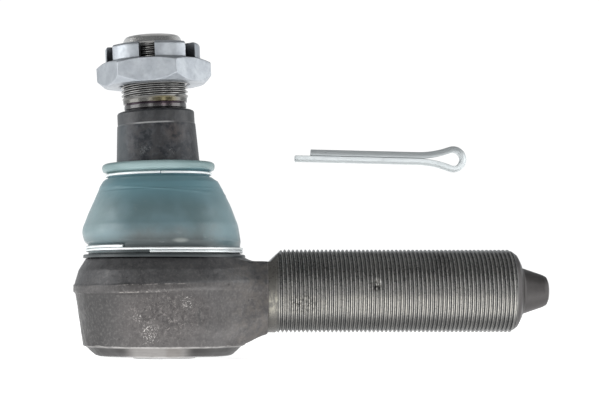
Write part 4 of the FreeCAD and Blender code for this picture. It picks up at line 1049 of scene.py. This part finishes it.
# ---------------------------------------------------------------- ball stud
ball = []
start = math.asin(-14.5 / 17.0)
end = math.acos(11.5 / 17.0)
ball.append((0, -14.5))
ball.append((17.0 * math.cos(start) - 0.4, -14.5))
for k in range(49):
    a = start + (end - start) * k / 48
    ball.append((17.0 * math.cos(a), 17.0 * math.sin(a)))
neck = rounded([(11.5, 17 * math.sin(end)), (11.5, 28.0), (11.85, 31.2), (12.9, 34.6), (14.5, 38.3), (15.25, 40.5),
                (14.07, 59.5), (13.86, 59.95), (13.84, 63.9), (13.5, 64.4), (12.8, 64.7), (10.95, 64.8), (10.95, 65.4),
                (11.15, 65.55), (11.15, 66.6)],
               [0, 3, 3, 3, 2, 0.5, 0.06, 0.06, 0.25, 0.2, 0.2, 0.1, 0.1, 0.05, 0])
before = ball + neck[1:]


def stud_envelope(s, a):
    return np.interp(s, [66.6, 66.8, 67.0, 67.3, 67.5, 68.9, 69.9, 88.0, 88.9, 90.9, 91.5, 91.8], [11.15, 11.15, 11.0, 11.0, 11.42, 11.5, 12.0, 12.0, 10.9, 10.2, 9.65, 9.35])


def stud_depth(s, a):
    return step(68.9, 70.1, s) * (1 - 0.85 * step(88.9, 89.9, s))


v, f, thread_height = thread_body("stud", 12.0, 0.92, before, 66.7, 91.65,
                         [(9.3, 91.70), (8.6, 91.87), (4.0, 91.93), (0, 91.97)], 1.5, 144,
                         stud_depth, stud_envelope)
stud = piece("stud_body", v, f, "ball_stud", "ball_stud", STUDM, angle=38, turn=STUD, attrs={"thread_height": thread_height},
             ride=False)
# split pin hole
bpy.ops.mesh.primitive_cylinder_add(vertices=48, radius=2.6 * MM, depth=40 * MM)
drill = bpy.context.object
turn = STUD.to_4x4() @ Matrix.Rotation(math.radians(-36.7), 4, "Z") @ Matrix.Translation((0, 0, 85.6 * MM)) @ Matrix.Rotation(math.pi / 2, 4, "Y")
drill.matrix_world = turn
cut = stud.modifiers.new("hole", "BOOLEAN")
cut.operation = "DIFFERENCE"
cut.solver = "EXACT"
cut.object = drill
dg = bpy.context.evaluated_depsgraph_get()
new = bpy.data.meshes.new_from_object(stud.evaluated_get(dg))
stud.modifiers.clear()
stud.data = new
bpy.data.objects.remove(drill)
new.set_sharp_from_angle(angle=math.radians(38))
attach(stud, "ball_stud")

# --------------------------------------------------------------- castle nut
NUT_TURN = STUD @ Matrix.Rotation(math.radians(-6.7), 3, "Z")


def nut(p):
    x, y, s = p[:, 0], p[:, 1], p[:, 2]
    r = np.hypot(x, y)
    th = np.arctan2(y, x)
    hexa = np.full(len(p), -99.0)
    for k in range(6):
        a = math.radians(30 + 60 * k)
        hexa = smax(hexa, x * math.cos(a) + y * math.sin(a) - 18.0, 0.15)
    body = smax(smax(hexa, 74.0 - s, 0.3), s - 82.6, 0.3)
    foot = (r - 17.95) * 0.669 - (s - 74.0) * 0.743
    head = (r - 17.8) * 0.385 + (s - 82.6) * 0.923
    body = smax(smax(body, foot, 0.2), head, 0.25)
    crown = smax(smax(r - 17.0, s - 88.3, 0.25), 80.0 - s, 0.3)
    crown = smax(crown, (r - 16.5) * 0.82 + (s - 88.3) * 0.57, 0.2)
    d = smin(body, crown, 0.5)
    for k in range(3):
        a = math.radians(60 * k)
        across = np.abs(x * math.cos(a) + y * math.sin(a)) - 2.75
        slot = smax(across, 82.6 - s, 0.5)
        d = smax(d, -slot, 0.15)
    phase = np.mod((s - 68.3) / 1.5 - th / (2 * math.pi) + 0.5, 1.0)
    tri = np.abs(phase - 0.5) * 2
    bore = 12.05 + 0.62 * np.clip(1.15 - tri * 1.3, 0, 1)
    bore = np.maximum(bore, 12.05 + (74.9 - s) * 1.0)
    bore = np.maximum(bore, 12.05 + (s - 87.7) * 1.0)
    bore = np.minimum(bore, 14.2)
    d = smax(d, (bore - r) * 0.85, 0.12)
    near = np.abs(d) < 0.8
    q = p[near]
    add = np.zeros(len(p))
    add[near] = 0.05 * noise3(q, 5.0, 11) + 0.02 * noise3(q, 1.2, 12)
    return d - add


v, q = field_mesh(nut, (-21.4, -21.4, 73.2), (21.4, 21.4, 89.6), 0.23)
piece("nut_body", v, q, "castle_nut", "castle_nut", ZINC, angle=40, turn=NUT_TURN)

# --------------------------------------------------------------------- boot
# outer line: radius, height, sideways shift, lean in degrees
FOOT = [(29.0, 11.82, 0, 0), (29.0, 12.6, 0, 0), (28.6, 13.0, 0, 0), (27.25, 13.2, 0, 0), (27.2, 14.2, 0, 0),
        (27.2, 16.0, -0.05, 0.0), (27.3, 16.6, -0.1, 0.05)]
BODY = [(27.75, 17.4, -0.45, 0.15), (27.98, 18.1, -0.7, 0.25), (28.1, 20.8, -1.3, 0.5), (27.75, 23.2, -1.42, 0.8), (27.0, 25.2, -1.45, 1.0),
        (25.4, 29.4, -1.6, 1.5), (23.45, 33.6, -1.8, 2.0)]
CREASE = [(22.7, 35.2, -1.88, 2.2), (22.45, 35.8, -1.9, 2.3), (22.25, 36.1, -1.92, 2.35), (21.9, 36.9, -1.98, 2.5), (21.2, 38.4, -2.07, 2.7)]


def ring_points(r, height, shift, lean, n):
    ang = np.arange(n) * 2 * math.pi / n
    p = np.stack([r * np.cos(ang), r * np.sin(ang), np.zeros(n)], 1)
    t = -math.radians(lean)
    m = np.array([[math.cos(t), 0, math.sin(t)], [0, 1, 0], [-math.sin(t), 0, math.cos(t)]])
    return p @ m.T + np.array([shift, 0, height])


LIP_LEAN, LIP_PIVOT = math.radians(1.4), 42.0  # the lip sits squarer than the stud


def lip_centre(s):
    return (-LIP_PIVOT * math.sin(LEAN) - (s - LIP_PIVOT) * math.sin(LIP_LEAN),
            LIP_PIVOT * math.cos(LEAN) + (s - LIP_PIVOT) * math.cos(LIP_LEAN))


def lip_ring(r, s):
    shift, height = lip_centre(s)
    return (r, height, shift, math.degrees(LIP_LEAN))


def catmull(keys, steps):
    keys = [np.array(k, float) for k in keys]
    out = []
    for i in range(len(keys) - 1):
        p1, p2 = keys[i], keys[i + 1]
        p0 = keys[i - 1] if i else 2 * p1 - p2
        p3 = keys[i + 2] if i + 2 < len(keys) else 2 * p2 - p1
        for k in range(steps):
            t = k / steps
            a = ((1 - t) ** 3 / 6, (3 * t ** 3 - 6 * t * t + 4) / 6, (-3 * t ** 3 + 3 * t * t + 3 * t + 1) / 6, t ** 3 / 6)
            c = (p1 + 0.5 * t * (p2 - p0) + t * t * (p0 - 2.5 * p1 + 2 * p2 - 0.5 * p3) + t ** 3 * (-0.5 * p0 + 1.5 * p1 - 1.5 * p2 + 0.5 * p3))
            out.append(tuple(c))
    out.append(tuple(keys[-1]))
    return out


LIPKEYS = [lip_ring(r, s) for r, s in
           ((20.0, 39.7), (19.2, 40.32), (18.35, 40.7), (18.08, 41.0), (18.08, 41.8), (18.12, 42.4), (18.6, 42.72),
            (19.5, 42.92), (20.0, 43.4), (20.2, 44.3), (20.15, 44.95), (19.85, 45.5), (19.3, 45.86))]
outer = catmull(FOOT + BODY + CREASE[:1], 4) + catmull(CREASE, 3)[1:] + catmull(LIPKEYS, 4)
inner = [lip_ring(r, s) for r, s in ((17.4, 45.88), (15.9, 45.8), (15.5, 45.5), (15.45, 42.5), (15.5, 40.4), (16.4, 39.2))]
inner += [(19.5, 37.2, -2.0, 2.6), (21.3, 33.6, -1.8, 2.0), (23.3, 29.4, -1.6, 1.5), (24.9, 25.2, -1.45, 1.0),
          (26.0, 20.8, -1.3, 0.5), (25.6, 18.0, -0.6, 0.2), (25.1, 16.9, 0, 0), (25.08, 13.0, 0, 0), (25.1, 11.84, 0, 0)]
line = outer + catmull(inner, 3)
seg = 176
rings = [ring_points(*k, seg) for k in line]
v = np.concatenate(rings)
# hand-made softness: shallow waves on the flanks and a faint moulding ridge
height = v[:, 2]
az = np.arctan2(v[:, 1], v[:, 0])
out = np.arange(len(v)) < len(outer) * seg
rad = np.hypot(v[:, 0], v[:, 1])
band = step(17.5, 22.0, height) * (1 - step(36.0, 40.0, height)) * out
swell = 0.12 * np.sin(3 * az + 0.6) + 0.08 * np.sin(5 * az + 2.0) + 0.16 * noise3(v, 9.0, 21)
ridge = 0.16 * np.exp(-((height - 35.7 + 0.06 * v[:, 0]) / 0.22) ** 2) * out
move = band * swell + ridge
v[:, 0] += move * v[:, 0] / np.maximum(rad, 1e-6)
v[:, 1] += move * v[:, 1] / np.maximum(rad, 1e-6)
faces = []
m = len(rings)
for k in range(m):
    a, b = k * seg, ((k + 1) % m) * seg
    for i in range(seg):
        j = (i + 1) % seg
        faces.append((a + i, a + j, b + j, b + i))
boot = piece("boot_shell", v, faces, "bearing_race", "dust_boot", BOOT, angle=50, ride=False)
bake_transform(boot)


# ------------------------------------------------------------- wire clamps
def wire_clamp(name, body, node, radius, coil, z0, pitch, turns, first, turn=None, shift=(0, 0, 0)):
    steps = int(turns * 150)
    pts, frames = [], []
    for k in range(steps + 1):
        w = k / steps * turns
        a = math.radians(first) + w * 2 * math.pi
        pts.append((coil * math.cos(a), coil * math.sin(a), z0 + pitch * w))
        frames.append((np.array([math.cos(a), math.sin(a), 0.0]), np.array([0.0, 0.0, 1.0])))
    sec = [(radius * math.cos(t), radius * math.sin(t)) for t in np.arange(16) * 2 * math.pi / 16]
    v, f = sweep(pts, frames, sec, ends=0.09)
    v = np.asarray(v) + np.array(shift)
    return piece(name, v, f, body, node, WIRE, angle=45, turn=turn)


wire_clamp("bottom_wire", "housing", "boot_bottom_clamp", 0.48, 27.74, 13.72, 1.04, 1.9425, -99.9)
LIP_TURN = Matrix.Rotation(-LIP_LEAN, 3, "Y")
x0, z0 = lip_centre(0.0)
wire_clamp("top_wire", "boot_collar", "boot_top_clamp", 0.5, 18.68, 41.70, 0.04, 0.998, -87.0, turn=LIP_TURN,
           shift=np.array(LIP_TURN.transposed() @ Vector((x0, 0, z0))))

# --------------------------------------------------------------- split pin
EYE, NECK, GAP, WIRE_R = 2.5, 34.0, 0.06, 2.3
neck_x = math.sqrt((EYE + NECK) ** 2 - (NECK + GAP) ** 2)
touch = math.atan2(NECK + GAP, -neck_x)
path = []


def arc(cx, cz, r, a0, a1, steps):
    for k in range(1, steps + 1):
        a = a0 + (a1 - a0) * k / steps
        path.append((cx + r * math.cos(a), cz + r * math.sin(a)))


for k in range(18):
    path.append((-52.1 + (52.1 - neck_x) * k / 17, GAP))
arc(-neck_x, NECK + GAP, NECK, -math.pi / 2, touch - math.pi, 14)
arc(0, 0, EYE, touch, -touch, 44)
arc(-neck_x, -(NECK + GAP), NECK, math.pi - touch, math.pi / 2, 14)
for k in range(1, 20):
    path.append((-neck_x - (57.8 - neck_x) * k / 19, -GAP))
P = np.array(path)
T = np.gradient(P, axis=0)
T /= np.linalg.norm(T, axis=1)[:, None]
side = Vector((0, 1, 0))
pts = [(a, 0.0, b) for a, b in P]
frames = [(np.array([0.0, 1.0, 0.0]), np.array([-t[1], 0.0, t[0]])) for t in T]
dsec = []
for k in range(19):
    a = math.radians(6 + 168 * k / 18)
    dsec.append((WIRE_R * math.cos(a), WIRE_R * math.sin(a)))
dsec += [(-WIRE_R + 0.02, 0.10), (-WIRE_R + 0.16, 0.01), (-1.2, 0.0), (0.0, 0.0), (1.2, 0.0), (WIRE_R - 0.16, 0.01), (WIRE_R - 0.02, 0.10)]
v, f = sweep(pts, frames, dsec, ends=0.25)
tilt = np.array(Matrix.Rotation(math.radians(1.1), 3, "Y"))
v = v @ tilt.T + np.array([104.7, 0, 47.9])
piece("split_pin", v, f, "cotter_pin", "cotter_pin", PINM, angle=40)

# ---------------------------------------------------- carried-over CAD nodes
for node, slot, material in (
        ("upper_bearing_shell", "bearing_plastic", plastic_material()),
        ("lower_bearing_shell", "bearing_plastic", plastic_material()),
        ("thrust_ring", "spring_steel", plain_metal("oiled_ring_steel", (96, 96, 98), (130, 130, 132), 0.34)),
        ("disc_spring", "spring_steel", plain_metal("oiled_spring_steel", (84, 86, 92), (112, 114, 120), 0.32)),
        ("cover_seal", "seal_rubber", seal_material())):
    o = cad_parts[node]
    o.data.materials.clear()
    o.data.materials.append(material)
    o.data.shade_smooth()
    o.data.set_sharp_from_angle(angle=math.radians(35))

# -------------------------------------------------------------------- stage
bpy.ops.mesh.primitive_plane_add(size=8.0, location=(0, 0, -0.0242))
floor = bpy.context.object
floor.name = "floor"
fm = bpy.data.materials.new("pale_floor")
fm.use_nodes = True
fb = fm.node_tree.nodes["Principled BSDF"]
fb.inputs["Base Color"].default_value = (0.9, 0.9, 0.9, 1)
fb.inputs["Roughness"].default_value = 0.9
fb.inputs["Specular IOR Level"].default_value = 0.1
fb.inputs["Emission Color"].default_value = (1, 1, 1, 1)
ft = fm.node_tree
at = ft.nodes.new("ShaderNodeTexCoord")
axes = ft.nodes.new("ShaderNodeSeparateXYZ")
ft.links.new(at.outputs["Object"], axes.inputs[0])


def floor_ramp(value, lo, hi, a, b):
    n = ft.nodes.new("ShaderNodeMapRange")
    n.interpolation_type = "SMOOTHSTEP"
    n.inputs["From Min"].default_value = lo
    n.inputs["From Max"].default_value = hi
    n.inputs["To Min"].default_value = a
    n.inputs["To Max"].default_value = b
    ft.links.new(value, n.inputs["Value"])
    return n.outputs["Result"]


def floor_math(op, a, b):
    n = ft.nodes.new("ShaderNodeMath")
    n.operation = op
    for k, v in enumerate((a, b)):
        if isinstance(v, float):
            n.inputs[k].default_value = v
        else:
            ft.links.new(v, n.inputs[k])
    return n.outputs[0]


# painted pool of light: the floor glows brighter in a strip in front of the part
painted_light_pool = floor_math("MULTIPLY", floor_ramp(axes.outputs[1], -0.080, -0.050, 0.0, 1.0), floor_ramp(axes.outputs[1], -0.020, -0.010, 1.0, 0.0))
# painted shadow: the floor glows less under the part
under = floor_math("MULTIPLY", floor_ramp(axes.outputs[1], -0.016, -0.006, 0.0, 1.0), floor_ramp(axes.outputs[1], 0.03, 0.06, 1.0, 0.0))
strength = floor_math("SUBTRACT", floor_math("ADD", floor_math("MULTIPLY", painted_light_pool, 1.0), 1.0), floor_math("MULTIPLY", under, 0.18))
ft.links.new(strength, fb.inputs["Emission Strength"])
# the floor is one-sided, so that the part can be seen from underneath
sided = ft.nodes.new("ShaderNodeNewGeometry")
clear = ft.nodes.new("ShaderNodeBsdfTransparent")
either = ft.nodes.new("ShaderNodeMixShader")
ft.links.new(sided.outputs["Backfacing"], either.inputs[0])
ft.links.new(fb.outputs[0], either.inputs[1])
ft.links.new(clear.outputs[0], either.inputs[2])
ft.links.new(either.outputs[0], ft.nodes["Material Output"].inputs["Surface"])
floor.data.materials.append(fm)

world = bpy.data.worlds.new("studio")
bpy.context.scene.world = world
world.use_nodes = True
wt = world.node_tree
wt.nodes.clear()
wo = wt.nodes.new("ShaderNodeOutputWorld")
seen = wt.nodes.new("ShaderNodeBackground")
seen.inputs[0].default_value = (1, 1, 1, 1)
seen.inputs[1].default_value = 1.05
lit = wt.nodes.new("ShaderNodeBackground")
where = wt.nodes.new("ShaderNodeTexCoord")
parts = wt.nodes.new("ShaderNodeSeparateXYZ")
wt.links.new(where.outputs["Generated"], parts.inputs[0])
fade = wt.nodes.new("ShaderNodeMapRange")
fade.interpolation_type = "SMOOTHSTEP"
fade.inputs["From Min"].default_value = 0.0
fade.inputs["From Max"].default_value = 0.8
fade.inputs["To Min"].default_value = 0.50
fade.inputs["To Max"].default_value = 0.14
wt.links.new(parts.outputs[2], fade.inputs["Value"])
depth = wt.nodes.new("ShaderNodeMapRange")
depth.interpolation_type = "SMOOTHSTEP"
depth.inputs["From Min"].default_value = -0.3
depth.inputs["From Max"].default_value = 0.6
depth.inputs["To Min"].default_value = 0.60
depth.inputs["To Max"].default_value = 1.70
wt.links.new(parts.outputs[1], depth.inputs["Value"])
level = wt.nodes.new("ShaderNodeMath")
level.operation = "MULTIPLY"
wt.links.new(fade.outputs[0], level.inputs[0])
wt.links.new(depth.outputs[0], level.inputs[1])
lit.inputs[0].default_value = (0.95, 0.98, 1.0, 1)
wt.links.new(level.outputs[0], lit.inputs[1])
ray = wt.nodes.new("ShaderNodeLightPath")
mixer = wt.nodes.new("ShaderNodeMixShader")
wt.links.new(ray.outputs["Is Camera Ray"], mixer.inputs[0])
wt.links.new(lit.outputs[0], mixer.inputs[1])
wt.links.new(seen.outputs[0], mixer.inputs[2])
wt.links.new(mixer.outputs[0], wo.inputs[0])


def softbox(name, at, aim, width, height, power, colour=(1, 1, 1)):
    data = bpy.data.lights.new(name, "AREA")
    data.shape = "RECTANGLE"
    data.size, data.size_y = width, height
    data.energy = power
    data.color = colour
    o = bpy.data.objects.new(name, data)
    bpy.context.scene.collection.objects.link(o)
    o.location = at
    o.rotation_euler = (Vector(aim) - Vector(at)).to_track_quat("-Z", "Y").to_euler()
    return o


def around(azimuth, elevation, distance, aim=(0.02, 0.0, 0.03)):
    a, e = math.radians(azimuth), math.radians(elevation)
    return (aim[0] + distance * math.sin(a) * math.cos(e), aim[1] - distance * math.cos(a) * math.cos(e),
            aim[2] + distance * math.sin(e))


AIM = (0.02, 0.0, 0.03)
softbox("left_side", around(-82, 12, 0.95), AIM, 0.7, 0.6, 3.6)
softbox("right_side", around(84, 12, 0.95), AIM, 0.7, 0.6, 3.0)
softbox("key_left", around(-19, 12, 1.2), AIM, 0.30, 0.55, 1.15)
softbox("key_right", around(31, 12, 1.2), AIM, 0.28, 0.55, 1.15)
softbox("top_box", (0.05, 0.10, 0.95), (0.05, 0, 0.0), 0.9, 0.9, 0.6)

cam_data = bpy.data.cameras.new("camera")
cam = bpy.data.objects.new("camera", cam_data)
bpy.context.scene.collection.objects.link(cam)
cam_data.sensor_width = 36.0
cam_data.lens = 108.2
cam.location = (0.005, -0.650, 0.0)
cam.rotation_euler = (Vector((0.0488, 0.0, 0.0329)) - cam.location).to_track_quat("-Z", "Y").to_euler()
bpy.context.scene.camera = cam

scene = bpy.context.scene
scene.view_settings.view_transform = "Standard"
scene.view_settings.look = "None"
